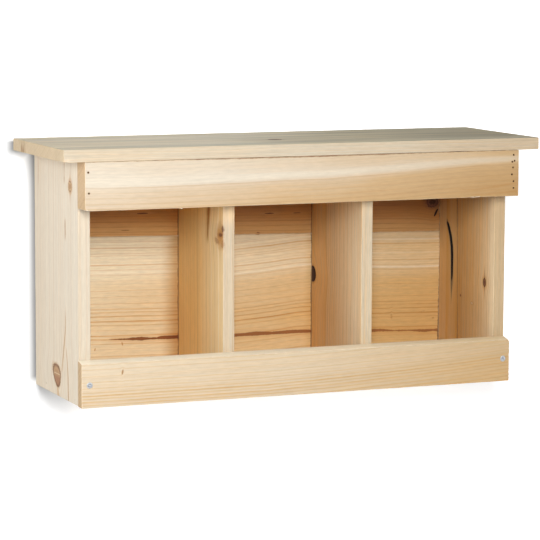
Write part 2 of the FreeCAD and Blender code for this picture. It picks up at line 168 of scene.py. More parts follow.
def wood(name, axes, face, **o):
    """Planed softwood cut from one log: lines of late wood along the grain, bands of sapwood and heartwood, fibres, knots and traces.

    axes names the row axes along the grain, across the shown face and through the board, and face is the shown face's place on the third. Lengths are in millimetres.
    """
    seed = o.get("seed", 1.0)
    t = Nodes(name)
    coords = t.node("ShaderNodeTexCoord")
    place = t.node("ShaderNodeVectorMath", operation="SCALE")
    t.put(place.inputs[0], coords.outputs["Object"])
    place.inputs["Scale"].default_value = 1000.0
    split = t.node("ShaderNodeSeparateXYZ")
    t.put(split.inputs[0], place.outputs[0])
    facing = t.node("ShaderNodeSeparateXYZ")
    t.put(facing.inputs[0], coords.outputs["Normal"])
    pick = ["XYZ".index(a) for a in axes]
    u, v, w = (split.outputs[n] for n in pick)
    end = t.span(t.math("ABSOLUTE", facing.outputs[pick[0]]), 0.62, 0.86)
    t.u, t.v, t.w, t.end = u, v, w, end

    # the grain wanders slowly, and trembles a little
    slow = t.noise(
        t.vec(
            t.mul(u, 1.0 / o.get("warp_len", 260.0)),
            t.mul(v, 1.0 / 85.0),
            t.muladd(w, 1.0 / 85.0, seed * 7.31),
        ),
        detail=1.0,
    )
    tremble = t.noise(
        t.vec(t.mul(u, 1.0 / 34.0), t.mul(v, 1.0 / 11.0), t.muladd(w, 1.0 / 11.0, seed * 3.77)),
        detail=2.0,
    )
    s = t.muladd(t.sub(slow, 0.5), 2.0 * o.get("warp", 2.5), v)
    s = t.muladd(t.sub(tremble, 0.5), 2.0 * o.get("tremble", 0.5), s)
    if o.get("tilt"):
        s = t.muladd(u, o["tilt"], s)
    if o.get("spine"):
        s = t.sub(s, t.curve(u, o["spine"]))

    # lines of growth part round each knot
    masks = []
    ragged = t.noise(
        t.vec(t.mul(u, 0.55), t.mul(v, 0.55), t.muladd(w, 0.55, seed)), detail=3.0, rough=0.6
    )
    for k in o.get("knots", ()):
        ku, kv, a, b = k["at"][0], k["at"][1], k["size"][0], k["size"][1]
        du = t.mul(t.sub(u, ku), 1.0 / a)
        dv = t.mul(t.sub(v, kv), 1.0 / b)
        if k.get("lean"):
            dv = t.muladd(du, k["lean"], dv)
        if k.get("taper"):
            dv = t.mul(dv, t.math("MAXIMUM", t.muladd(du, k["taper"], 1.0), 0.3))
        uu = t.mul(du, du)
        vv = t.mul(dv, dv)
        e = t.math("SQRT", t.add(uu, vv))
        e = t.muladd(t.sub(ragged, 0.5), k.get("ragged", 0.5), e)
        if k.get("sink"):
            e = t.muladd(t.math("ABSOLUTE", t.sub(w, face)), 1.0 / k["sink"], e)
        push = k.get("push", 1.0)
        if push:
            reach = k.get("reach", 2.2)
            near = t.math("DIVIDE", 1.0, t.muladd(uu, 1.0 / reach**2, 1.0))
            near = t.mul(near, near)
            if k.get("sink"):
                near = t.mul(near, t.span(t.math("ABSOLUTE", t.sub(w, face)), 0.0, 2.5 * k["sink"], 1.0, 0.0))
            damp = t.muladd(vv, 0.11, 1.0)
            away = t.math("DIVIDE", dv, t.mul(damp, damp))
            s = t.sub(s, t.mul(t.mul(near, away), push * b))
        masks.append((k, e, du, dv))

    # rings run through the board at a slant, so that they show on its edges and ends
    depth = t.sub(w, face)
    r = t.muladd(depth, o.get("slant", 0.8), s)
    if o.get("bow"):
        r = t.muladd(t.mul(depth, depth), o["bow"], r)
    t.r = r

    spacing = o.get("spacing", 6.0)
    uneven = t.noise(t.vec(t.mul(r, 0.23 / spacing), seed * 1.7, 0.0), detail=1.0)
    turn = t.muladd(uneven, 2.6, t.mul(r, 1.0 / spacing))
    part = t.math("FRACT", turn)
    which = t.math("FLOOR", turn)
    weight = t.muladd(t.chance(t.add(which, seed * 13.1)), 0.8, 0.2)
    ring = t.mul(t.span(part, 0.30, 0.93), t.span(part, 0.94, 1.0, 1.0, 0.0))
    ring = t.mul(ring, weight)

    fibre = t.noise(
        t.vec(t.mul(u, 1.0 / 15.0), t.mul(v, 1.0 / 0.55), t.muladd(w, 1.0 / 0.55, seed)),
        detail=3.0,
        rough=0.6,
    )
    strand = t.noise(
        t.vec(t.mul(u, 1.0 / 70.0), t.mul(r, 1.0 / 1.7), seed * 2.3), detail=2.0, rough=0.55
    )
    fleck = t.span(
        t.noise(
            t.vec(t.mul(u, 1.0 / 4.5), t.mul(v, 1.0 / 0.34), t.muladd(w, 1.0 / 0.34, seed * 5.0)),
            detail=1.0,
        ),
        0.66,
        0.78,
    )
    cloud = t.noise(
        t.vec(t.mul(u, 1.0 / 95.0), t.mul(v, 1.0 / 34.0), t.muladd(w, 1.0 / 34.0, seed * 9.0)),
        detail=2.0,
    )

    # sapwood and heartwood
    if o.get("bands"):
        tone = t.ramp(
            t.muladd(t.sub(strand, 0.5), 2.0, r),
            o["bands"],
            min(p[0] for p in o["bands"]),
            max(p[0] for p in o["bands"]),
        )
    else:
        tone = o.get("tone", 0.4)
    tone = t.muladd(t.sub(cloud, 0.5), o.get("cloud", 0.35), tone)
    if o.get("drift"):
        tone = t.add(tone, t.curve(u, o["drift"]))
    tone = t.muladd(t.sub(strand, 0.5), o.get("strand", 0.35), tone)
    pale = o.get("pale", PALE)
    tan = o.get("tan", TAN)
    colour = t.mix(t.math("ADD", tone, 0.0, clamp=True), pale, tan)
    colour = t.mix(t.math("ADD", t.sub(tone, 0.85), 0.0, clamp=True), colour, o.get("deep", GOLD))
    colour = t.mix(t.mul(ring, o.get("rings", 0.4)), colour, o.get("late", LATE))

    # single lines of late wood that stand out
    lines = None
    along = t.muladd(
        t.noise(t.vec(t.mul(u, 1.0 / 45.0), t.mul(r, 0.33), seed * 4.0), detail=2.0), 1.6, 0.1
    )
    for at, wide, strong in o.get("lines", ()):
        off = t.sub(r, at)
        one = t.mul(t.span(off, -1.9 * wide, 0.0), t.span(off, 0.0, 0.45 * wide, strong, 0.0))
        lines = one if lines is None else t.math("MAXIMUM", lines, one)
    if lines is not None:
        lines = t.mul(lines, along)
        colour = t.mix(lines, colour, o.get("line", LATE))
    for at, wide, strong in o.get("glints", ()):
        off = t.math("ABSOLUTE", t.sub(r, at))
        colour = t.mix(t.span(off, 0.0, wide, strong, 0.0), colour, o.get("glint", (0.86, 0.75, 0.58)))

    # fibres and flecks
    mottle = t.noise(
        t.vec(t.mul(u, 1.0 / 9.0), t.mul(v, 1.0 / 2.1), t.muladd(w, 1.0 / 2.1, seed * 6.0)), detail=2.0, rough=0.6
    )
    value = t.muladd(t.sub(fibre, 0.5), o.get("fibre", 0.3), 1.0)
    value = t.muladd(t.sub(strand, 0.5), o.get("streaks", 0.22), value)
    value = t.muladd(t.sub(mottle, 0.5), o.get("mottle", 0.16), value)
    if o.get("broad"):
        broad = t.noise(
            t.vec(t.mul(u, 1.0 / 190.0), t.mul(v, 1.0 / 8.5), t.muladd(w, 1.0 / 8.5, seed * 8.0)), detail=3.0, rough=0.6
        )
        coarse = t.noise(
            t.vec(t.mul(u, 1.0 / 260.0), t.mul(v, 1.0 / 24.0), t.muladd(w, 1.0 / 24.0, seed * 5.0)), detail=2.0, rough=0.6
        )
        much = t.span(facing.outputs[1], -0.9, -0.6, o["broad"] * 0.3, o["broad"])
        value = t.muladd(t.sub(broad, 0.5), much, value)
        value = t.muladd(t.sub(coarse, 0.5), t.mul(much, 1.2), value)
    shade = t.node("ShaderNodeVectorMath", operation="SCALE")
    t.put(shade.inputs[0], colour)
    t.put(shade.inputs["Scale"], value)
    colour = t.mix(t.mul(fleck, o.get("fleck", 0.16)), shade.outputs[0], LATE)

    # end grain is darker and more even
    pore = t.noise(t.vec(t.mul(u, 0.2), t.mul(v, 2.1), t.mul(w, 2.1)), detail=3.0, rough=0.65)
    ends = t.mix(t.span(pore, 0.35, 0.7), o.get("end_lo", (0.43, 0.26, 0.12)), o.get("end_hi", (0.62, 0.43, 0.235)))
    ends = t.mix(t.mul(ring, o.get("end_rings", 0.55)), ends, (0.33, 0.17, 0.065))
    colour = t.mix(t.mul(end, o.get("end", 0.85)), colour, ends)

    # traces: resin lines, streaks, seams and cracks, given as points (along, across, half width)
    hollow = None
    for trace in o.get("traces", ()):
        pts = trace["path"]
        line = t.curve(u, [(p[0], p[1]) for p in pts])
        half = t.curve(u, [(p[0], p[2]) for p in pts])
        shaky = trace.get("shaky", 0.5)
        jitter = t.noise(
            t.vec(t.mul(u, 1.0 / trace.get("grain", 6.0)), t.mul(v, 0.08), trace.get("seed", 1.0) * 5.7),
            detail=3.0,
            rough=0.6,
        )
        half = t.muladd(t.sub(jitter, 0.5), shaky * 2.0, half)
        off = t.math("ABSOLUTE", t.sub(v, line))
        soft = trace.get("soft", 0.5)
        inside = t.span(t.sub(off, half), -soft, soft * 0.35, 1.0, 0.0)
        low, high = min(p[0] for p in pts), max(p[0] for p in pts)
        fade = trace.get("fade", 2.0)
        fade_lo, fade_hi = fade if isinstance(fade, tuple) else (fade, fade)
        inside = t.mul(inside, t.span(u, low, low + max(fade_lo, 0.01)))
        inside = t.mul(inside, t.span(u, high - max(fade_hi, 0.01), high, 1.0, 0.0))
        if trace.get("broken"):
            gaps = t.noise(t.vec(t.mul(u, 1.0 / trace.get("gap", 9.0)), 3.1, trace.get("seed", 1.0)), detail=2.0)
            inside = t.mul(inside, t.span(gaps, trace["broken"] - 0.08, trace["broken"] + 0.08))
        shallow = t.span(t.math("ABSOLUTE", depth), trace.get("deep", 6.0), trace.get("deep", 6.0) + 0.5, 1.0, 0.0)
        inside = t.mul(inside, shallow)
        tint = trace.get("colour", STREAK)
        if trace.get("halo"):
            wide, strong, hue = trace["halo"]
            glow = t.span(t.sub(off, half), 0.0, wide, strong, 0.0)
            glow = t.mul(glow, t.span(u, low, low + max(fade_lo, 4.0)))
            glow = t.mul(glow, t.span(u, high - max(fade_hi, 4.0), high, 1.0, 0.0))
            glow = t.mul(glow, shallow)
            colour = t.mix(glow, colour, hue)
        colour = t.mix(t.mul(inside, trace.get("strong", 1.0)), colour, tint)
        if trace.get("sunk"):
            sunk = t.mul(inside, trace["sunk"])
            hollow = sunk if hollow is None else t.math("MAXIMUM", hollow, sunk)

    # knots
    for k, e, du, dv in masks:
        halo = k.get("halo", 1.9)
        colour = t.mix(
            t.mul(t.span(e, 1.0, halo, 1.0, 0.0), k.get("glow", 0.45)), colour, k.get("halo_colour", (0.52, 0.27, 0.095))
        )
        if k.get("tail"):
            wide, length, strong = k["tail"]
            tail = t.mul(
                t.span(t.math("ABSOLUTE", dv), 0.0, wide, 1.0, 0.0),
                t.span(t.math("ABSOLUTE", du), 0.6, length, strong, 0.0),
            )
            colour = t.mix(tail, colour, k.get("tail_colour", LATE))
        rings = t.math("SINE", t.mul(e, k.get("whorls", 9.0)))
        core = t.mix(
            t.span(rings, -0.6, 0.9), k.get("core", (0.36, 0.165, 0.062)), k.get("core_two", (0.25, 0.105, 0.04))
        )
        if k.get("lower"):
            core = t.mix(t.span(du, -0.25, 0.15, 0.85, 0.0), core, k["lower"])
        rim = t.mul(t.span(e, 0.62, 0.95), k.get("rim", 0.85))
        core = t.mix(rim, core, k.get("rim_colour", BROWN))
        inside = t.span(e, 0.93, 1.06, 1.0, 0.0)
        colour = t.mix(t.mul(inside, k.get("strong", 1.0)), colour, core)

    for extra in o.get("extras", ()):
        colour = extra(t, colour)

    # edges are rubbed: dirt and raised fibres in places, and a pale scrape along them that is also a painted highlight
    rim = t.node("ShaderNodeAttribute", attribute_name="rim")
    scuff = t.noise(t.vec(t.mul(u, 0.16), t.mul(v, 0.3), t.muladd(w, 0.3, seed)), detail=3.0, rough=0.65)
    near = t.span(t.muladd(t.sub(scuff, 0.5), 3.2, rim.outputs["Fac"]), 0.0, 1.7, 1.0, 0.0)
    colour = t.mix(t.mul(near, o.get("wear", 0.3)), colour, o.get("wear_colour", (0.60, 0.42, 0.23)))
    scrape = t.span(t.muladd(t.sub(scuff, 0.5), 2.4, rim.outputs["Fac"]), 0.0, 0.7, 1.0, 0.0)
    colour = t.mix(t.mul(scrape, o.get("scrape", 0.22)), colour, (0.86, 0.76, 0.60))

    # torn fibres: pale fresh wood, painted bright as a highlight too
    torn_and_highlight = t.span(rim.outputs["Fac"], -3.0, -2.0, 0.75, 0.0)
    colour = t.mix(torn_and_highlight, colour, (0.86, 0.76, 0.60))

    if o.get("behind"):
        beyond = t.span(t.math("ABSOLUTE", depth), 3.0, 11.0)
        colour = t.mix(beyond, colour, o["behind"], mode="MULTIPLY")
        if o.get("behind_rings"):
            coarse = t.mul(t.add(ring, t.span(strand, 0.45, 0.7, 0.0, 0.5)), o["behind_rings"])
            colour = t.mix(t.mul(beyond, coarse), colour, (0.56, 0.31, 0.115))
    # Painted shade on faces that look to the front: a tint that darkens them and shifts their hue against the rest of
    # the board.
    if o.get("front"):
        ahead = t.span(facing.outputs[1], -0.9, -0.6, 1.0, 0.0)
        colour = t.mix(ahead, colour, o["front"], mode="MULTIPLY")
    # Painted light on faces that look up: a tint, changing from left to right, for the light and sheen that fall on top
    # faces.
    weather = o.get("weather")
    if weather:
        up = t.span(facing.outputs[2], 0.55, 0.9)
        if len(weather) == 3:
            grey = t.mix(t.span(u, -220.0, 40.0, kind="LINEAR"), weather[0], weather[1])
            grey = t.mix(t.span(u, 40.0, 220.0, kind="LINEAR"), grey, weather[2])
        else:
            grey = t.mix(t.span(u, -250.0, 250.0, kind="LINEAR"), weather[0], weather[1])
        colour = t.mix(up, colour, grey, mode="MULTIPLY")

    height = t.muladd(fibre, 0.6, t.mul(ring, 0.35))
    height = t.sub(height, t.mul(fleck, 0.35))
    height = t.muladd(t.mul(end, pore), 1.6, height)
    if hollow is not None:
        height = t.sub(height, hollow)
    bump = t.node("ShaderNodeBump")
    bump.inputs["Strength"].default_value = o.get("bump", 0.4)
    bump.inputs["Distance"].default_value = 0.00022
    t.put(bump.inputs["Height"], height)

    gloss = t.muladd(t.sub(fibre, 0.5), 0.22, o.get("rough", 0.6))
    gloss = t.muladd(ring, -0.10, gloss)
    gloss = t.muladd(end, 0.14, gloss)
    gloss = t.muladd(near, 0.08, gloss)
    if hollow is not None:
        gloss = t.muladd(hollow, 0.4, gloss)

    shader = t.node("ShaderNodeBsdfPrincipled")
    t.put(shader.inputs["Base Color"], colour)
    t.put(shader.inputs["Roughness"], gloss)
    t.put(shader.inputs["Normal"], bump.outputs[0])
    shader.inputs["Specular IOR Level"].default_value = 0.32
    out = t.node("ShaderNodeOutputMaterial")
    t.put(out.inputs["Surface"], shader.outputs[0])
    return t.mat


# ---------------------------------------------------------------- metal


def metal(name, tint, dull, rough, spots, seed):
    """Plated or bare steel: fine scratches, cloudy plating, darker spots and dirt in places."""
    t = Nodes(name)
    coords = t.node("ShaderNodeTexCoord")
    at = coords.outputs["Object"]
    stretch = t.node("ShaderNodeMapping", vector_type="POINT")
    t.put(stretch.inputs["Vector"], at)
    stretch.inputs["Scale"].default_value = (9000.0, 1400.0, 900.0)
    stretch.inputs["Location"].default_value = (seed, seed * 2.0, seed * 3.0)
    scratch = t.noise(stretch.outputs[0], detail=3.0, rough=0.65)
    cloud = t.noise(at, detail=3.0, scale=620.0)
    grime = t.span(t.noise(at, detail=4.0, rough=0.7, scale=1500.0), 0.52, 0.72)
    colour = t.mix(t.span(cloud, 0.3, 0.72), tint, dull)
    colour = t.mix(t.mul(grime, spots), colour, (0.10, 0.085, 0.07))
    colour = t.mix(t.span(scratch, 0.35, 0.75, 0.0, 0.35), colour, (0.86, 0.87, 0.88), mode="MULTIPLY")
    bump = t.node("ShaderNodeBump")
    bump.inputs["Strength"].default_value = 0.25
    bump.inputs["Distance"].default_value = 0.00006
    t.put(bump.inputs["Height"], t.muladd(cloud, 0.5, scratch))
    shader = t.node("ShaderNodeBsdfPrincipled")
    t.put(shader.inputs["Base Color"], colour)
    shader.inputs["Metallic"].default_value = 1.0
    t.put(shader.inputs["Roughness"], t.muladd(grime, 0.25, t.muladd(t.sub(scratch, 0.5), 0.3, rough)))
    t.put(shader.inputs["Normal"], bump.outputs[0])
    out = t.node("ShaderNodeOutputMaterial")
    t.put(out.inputs["Surface"], shader.outputs[0])
    return t.mat


# ---------------------------------------------------------------- boards


def places(length, step, ease, extra=()):
    """Where the rows of a board's mesh run along one side: close together at both ends, where the edge is eased."""
    fine = [0.0, 0.18, 0.42, 0.72, 1.0]
    ends = [f * ease for f in fine] + [ease * 1.9]
    inner = []
    room = length - 2.0 * ends[-1]
    count = max(1, int(round(room / step)))
    for n in range(1, count):
        inner.append(ends[-1] + room * n / count)
    rows = ends + inner + [length - e for e in reversed(ends)]
    rows += [e for e in extra if 0.0 < e < length]
    rows = sorted(rows)
    kept = [rows[0]]
    for row in rows[1:]:
        if row - kept[-1] > 0.04:
            kept.append(row)
    kept[-1] = length
    return np.array(kept)


def board(node, material, seed, step=4.0, ease=0.55, rough_edge=0.5, shape=None, dents=(), extra=((), (), ()), sway=0.14):
    """A planed board with eased, slightly uneven edges in place of a node of the frame. Lengths are in millimetres."""
    lo, hi = (np.array(c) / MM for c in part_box(node))
    size = hi - lo
    eases = np.minimum(ease, size * 0.2)
    rows = [
        places(size[n], step if size[n] > 30.0 else 3.0, eases[n], [e - lo[n] for e in extra[n]])
        for n in range(3)
    ]
    counts = [len(r) for r in rows]
    index = {}
    points = []

    def corner(i, j, k):
        key = (i, j, k)
        if key not in index:
            index[key] = len(points)
            points.append((rows[0][i], rows[1][j], rows[2][k]))
        return index[key]

    faces = []
    nx, ny, nz = (c - 1 for c in counts)
    for j in range(ny):
        for k in range(nz):
            faces.append((corner(0, j, k), corner(0, j, k + 1), corner(0, j + 1, k + 1), corner(0, j + 1, k)))
            faces.append((corner(nx, j, k), corner(nx, j + 1, k), corner(nx, j + 1, k + 1), corner(nx, j, k + 1)))
    for i in range(nx):
        for k in range(nz):
            faces.append((corner(i, 0, k), corner(i + 1, 0, k), corner(i + 1, 0, k + 1), corner(i, 0, k + 1)))
            faces.append((corner(i, ny, k), corner(i, ny, k + 1), corner(i + 1, ny, k + 1), corner(i + 1, ny, k)))
    for i in range(nx):
        for j in range(ny):
            faces.append((corner(i, j, 0), corner(i, j + 1, 0), corner(i + 1, j + 1, 0), corner(i + 1, j, 0)))
            faces.append((corner(i, j, nz), corner(i + 1, j, nz), corner(i + 1, j + 1, nz), corner(i, j + 1, nz)))

    p = np.array(points)
    edge = np.sort(np.minimum(p, size - p), axis=1)
    rim = edge[:, 1]
    shift = Vector((seed * 3.1, seed * 1.7, seed))
    spots = [Vector(q) * 0.045 + shift for q in p + lo]
    wild = np.array([noise.noise(a) + 0.6 * noise.noise(a * 4.3) for a in spots])
    dip = np.array([noise.noise(a * 0.55 + Vector((9.0, 4.0, 2.0))) for a in spots])
    wild = np.clip(1.0 + rough_edge * wild, 0.35, 1.75)
    ease_here = np.maximum(eases[None, :] * wild[:, None], 0.05)
    inner = np.clip(p, ease_here, size - ease_here)
    off = (p - inner) / ease_here
    long = np.maximum(np.linalg.norm(off, axis=1), 1e-9)
    way = off / long[:, None]
    p = inner + way * np.max(np.abs(off), axis=1)[:, None] * ease_here
    # a planed face is never quite flat, and only ever lies below the full size
    p = p - way * (sway * (0.5 + 0.5 * dip))[:, None] + lo
    if shape is not None:
        p = shape(p)
    for d in dents:
        centre = np.array(d["at"])
        way = np.array(d["way"], dtype=float)
        way = way / np.linalg.norm(way)
        reach = np.array(d["reach"], dtype=float)
        far = np.sqrt((((p - centre) / reach) ** 2).sum(axis=1))
        for n in np.nonzero(far < 1.0)[0]:
            wild = 0.75 + 0.5 * noise.noise(Vector(p[n]) * d.get("grain", 0.9))
            fall = (1.0 - far[n] ** 2) ** d.get("power", 1.0)
            p[n] += way * d["depth"] * fall * wild

    mesh = bpy.data.meshes.new(node + "_wood")
    mesh.from_pydata([tuple(q * MM) for q in p], [], faces)
    mesh.validate()
    mark = mesh.attributes.new("rim", "FLOAT", "POINT")
    mark.data.foreach_set("value", rim.astype(np.float32))
    mesh.materials.append(material)
    mesh.shade_smooth()
    piece = bpy.data.objects.new(node + "_wood", mesh)
    scene.collection.objects.link(piece)
    return piece


def prism(centre, axis, radius, depth, sides=14, seed=0.0, wild=0.12, mouth=1.0, stretch=(1.0, 1.0)):
    """A slightly ragged round plug, from depth inside a surface to a little above it. axis points out of the surface."""
    centre, axis = Vector(centre), Vector(axis).normalized()
    side = axis.orthogonal().normalized()
    other = axis.cross(side)
    rings = []
    for level, grow in ((-depth, 0.92), (-0.25, 1.0), (0.0, mouth), (0.6, mouth)):
        ring = []
        for n in range(sides):
            a = 2.0 * math.pi * n / sides
            way = Vector((math.cos(a), math.sin(a), seed))
            far = radius * grow * (1.0 + wild * noise.noise(way * 1.6 + Vector((seed * 3.0, 0.0, 0.0))))
            ring.append(centre + side * (math.cos(a) * far * stretch[0]) + other * (math.sin(a) * far * stretch[1]) + axis * level)
        rings.append(ring)
    verts = [q for ring in rings for q in ring]
    faces = []
    for m in range(len(rings) - 1):
        for n in range(sides):
            a, b = m * sides + n, m * sides + (n + 1) % sides
            faces.append((a, b, b + sides, a + sides))
    faces.append(tuple(reversed(range(sides))))
    faces.append(tuple(range((len(rings) - 1) * sides, len(rings) * sides)))
    return verts, faces


def lathe(profile, centre, sides):
    """A round solid about an axis that runs to the rear through centre, from its profile of (depth, radius)."""
    x, y, z = centre
    verts, faces = [], []
    for depth, radius in profile:
        for n in range(sides):
            a = 2.0 * math.pi * n / sides
            verts.append(Vector((x + math.cos(a) * radius, y + depth, z + math.sin(a) * radius)))
    for m in range(len(profile) - 1):
        for n in range(sides):
            a, b = m * sides + n, m * sides + (n + 1) % sides
            faces.append((a, b, b + sides, a + sides))
    faces.append(tuple(reversed(range(sides))))
    faces.append(tuple(range((len(profile) - 1) * sides, len(profile) * sides)))
    return verts, faces


def sink(centre):
    """The countersunk hole of a rail screw, right through the rail."""
    return lathe(((-0.6, 3.1), (0.5, 3.08), (2.05, 1.6), (13.0, 1.58)), centre, 36)


def sliver(path, axis, depth, sides=10):
    """A long narrow pocket: path holds points (place, half width) on a surface, and axis points out of it."""
    axis = Vector(axis).normalized()
    pts = [Vector(q[0]) for q in path]
    verts, faces = [], []
    for n, (q, half) in enumerate((Vector(p[0]), p[1]) for p in path):
        ahead = pts[min(n + 1, len(pts) - 1)] - pts[max(n - 1, 0)]
        side = axis.cross(ahead.normalized()).normalized()
        for m in range(sides):
            a = 2.0 * math.pi * m / sides
            verts.append(q + side * (math.cos(a) * half) + axis * (math.sin(a) * min(depth, half * 1.6 + 0.2)))
    for n in range(len(pts) - 1):
        for m in range(sides):
            a, b = n * sides + m, n * sides + (m + 1) % sides
            faces.append((a, b, b + sides, a + sides))
    faces.append(tuple(reversed(range(sides))))
    faces.append(tuple(range((len(pts) - 1) * sides, len(pts) * sides)))
    return verts, faces


def corners_of(mesh):
    """A mesh's vertices as one whole number each, in steps of a micrometre, to tell old ones from new ones."""
    at = np.empty(len(mesh.vertices) * 3, dtype=np.float32)
    mesh.vertices.foreach_get("co", at)
    q = np.round(at.reshape(-1, 3).astype(float) * 1e6).astype(np.int64) + 2**20
    return (q[:, 0] << 42) | (q[:, 1] << 21) | q[:, 2]


def fray(piece, slivers):
    """Adds torn fibres to a piece's edge: each has its root, the way it points, its bend, length, width and thickness."""
    work = bmesh.new()
    work.from_mesh(piece.data)
    layer = work.verts.layers.float["rim"]
    for root, way, bend, long, wide, thick in slivers:
        root, way, bend = Vector(root), Vector(way).normalized(), Vector(bend)
        side = way.cross(Vector((0.31, 0.72, 0.62))).normalized()
        flat = way.cross(side).normalized()
        rings = []
        for n in range(6):
            f = n / 5.0
            at = root + way * (long * f) + bend * (long * f * f)
            a, b = wide * (1.0 - f) ** 0.7 + 0.03, thick * (1.0 - f) ** 0.7 + 0.03
            row = [at + side * (math.cos(q) * a) + flat * (math.sin(q) * b) for q in (0.0, 1.05, 2.1, 3.14, 4.19, 5.24)]
            rings.append([work.verts.new(Vector((q.x, max(q.y, -82.46), q.z)) * MM) for q in row])
        for vert in (v for row in rings for v in row):
            vert[layer] = -5.0
        for one, two in zip(rings, rings[1:]):
            for n in range(6):
                work.faces.new((one[n], one[(n + 1) % 6], two[(n + 1) % 6], two[n]))
        work.faces.new(list(reversed(rings[0])))
        work.faces.new(rings[-1])
    bmesh.ops.recalc_face_normals(work, faces=work.faces)
    work.to_mesh(piece.data)
    work.free()


def cut(piece, plugs):
    """Takes the plugs out of a piece for good."""
    verts, faces = [], []
    for v, f in plugs:
        base = len(verts)
        verts += [tuple(q * MM) for q in v]
        faces += [tuple(base + n for n in g) for g in f]
    known = corners_of(piece.data)
    mesh = bpy.data.meshes.new("plug")
    mesh.from_pydata(verts, [], faces)
    mark = mesh.attributes.new("rim", "FLOAT", "POINT")
    mark.data.foreach_set("value", np.full(len(verts), 9.0, dtype=np.float32))
    work = bmesh.new()
    work.from_mesh(mesh)
    bmesh.ops.recalc_face_normals(work, faces=work.faces)
    work.to_mesh(mesh)
    work.free()
    plug = bpy.data.objects.new("plug", mesh)
    scene.collection.objects.link(plug)
    take = piece.modifiers.new("cut", "BOOLEAN")
    take.operation = "DIFFERENCE"
    take.solver = "EXACT"
    take.object = plug
    bpy.context.view_layer.update()
    made = bpy.data.meshes.new_from_object(piece.evaluated_get(bpy.context.evaluated_depsgraph_get()))
    piece.modifiers.clear()
    mark = made.attributes.get("rim")
    if mark is not None:
        rim = np.empty(len(made.vertices), dtype=np.float32)
        mark.data.foreach_get("value", rim)
        fresh = ~np.isin(corners_of(made), known)
        mark.data.foreach_set("value", np.where(fresh, np.maximum(rim, 9.0), rim).astype(np.float32))
    old = piece.data
    piece.data = made
    made.name = old.name
    bpy.data.meshes.remove(old)
    bpy.data.objects.remove(plug)
    bpy.data.meshes.remove(mesh)


def finish(piece, node, body, angle=38.0):
    """Sharpens the real corners of a piece and puts it in its node's place."""
    piece.data.shade_smooth()
    piece.data.set_sharp_from_angle(angle=math.radians(angle))
    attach(piece, body)
    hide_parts(node)


# ---------------------------------------------------------------- the boards' woods

back_seam = ((-216.5, 149.4), (213.5, 139.7))
side_seam = ((0.0, 22.5), (236.5, 29.1))


def between(value, ends):
    (a, at_a), (b, at_b) = ends
    return at_a + (value - a) / (b - a) * (at_b - at_a)


def knot_shadow(t, colour):
    """Painted shade on the back panel, where it shows through the hole of the right divider's missing knot."""
    mask = t.mul(t.span(t.u, 66.1, 66.5), t.span(t.u, 75.6, 76.6, 1.0, 0.0))
    mask = t.mul(mask, t.span(t.math("ABSOLUTE", t.sub(t.v, 101.2)), 8.0, 8.8, 1.0, 0.0))
    mask = t.mul(mask, t.span(t.w, 68.5, 69.5, 1.0, 0.0))
    return t.mix(mask, colour, (0.05, 0.02, 0.009))


def corner_gaps(t, colour):
    """Thin dark lines, painted where the back panel meets the uprights on its right."""
    crumbs = t.noise(t.vec(t.mul(t.u, 0.04), t.mul(t.v, 0.11), 5.0), detail=4.0, rough=0.65)
    for at, strong in ((-81.2, 0.6), (66.1, 0.7), (213.4, 0.8)):
        wide = t.muladd(t.sub(crumbs, 0.5), 3.0, 1.0)
        if at > 200.0:
            wide = t.add(wide, t.span(t.v, 20.0, 95.0, 0.7, -0.3))
        off = t.sub(at, t.u)
        mask = t.mul(t.span(t.sub(off, wide), -0.45, 0.15, strong, 0.0), t.span(off, -0.6, -0.3))
        mask = t.mul(mask, t.span(t.w, 68.5, 69.5, 1.0, 0.0))
        colour = t.mix(mask, colour, (0.10, 0.045, 0.02))
    return colour


def bay_light(curve, corner):
    """Painted shading on the front of the back panel, fitted to the photo: paler on the left of each bay and browner towards the right corner."""

    def shade(t, colour):
        front = t.span(t.w, 68.5, 71.5, 1.0, 0.0)
        value = t.muladd(t.sub(t.curve(t.u, curve), 1.0), front, 1.0)
        scaled = t.node("ShaderNodeVectorMath", operation="SCALE")
        t.put(scaled.inputs[0], colour)
        t.put(scaled.inputs["Scale"], value)
        colour = scaled.outputs[0]
        for low, high, tint in corner:
            mask = t.mul(t.span(t.u, low, high), t.span(t.u, high + 3.0, high + 5.0, 1.0, 0.0))
            colour = t.mix(t.mul(mask, front), colour, tint, mode="MULTIPLY")
        return colour

    return shade


lower_light = bay_light(
    ((-216.5, 1.04), (-175.0, 1.04), (-100.0, 0.98), (-82.0, 0.97), (-69.0, 1.01), (-20.0, 1.0), (60.0, 0.95), (66.0, 0.94), (78.0, 1.03), (110.0, 1.02), (160.0, 0.94), (213.5, 0.88)),
    ((-103.0, -81.0, (0.64, 0.46, 0.27)), (55.0, 67.0, (0.88, 0.82, 0.72))),
)
upper_light = bay_light(
    ((-216.5, 1.06), (-175.0, 1.06), (-90.0, 1.06), (-82.0, 1.02), (-69.0, 1.0), (-20.0, 0.99), (60.0, 0.9), (66.0, 0.87), (78.0, 1.06), (110.0, 1.06), (165.0, 0.92), (213.5, 0.8)),
    ((-98.0, -81.0, (0.97, 0.88, 0.75)),),
)


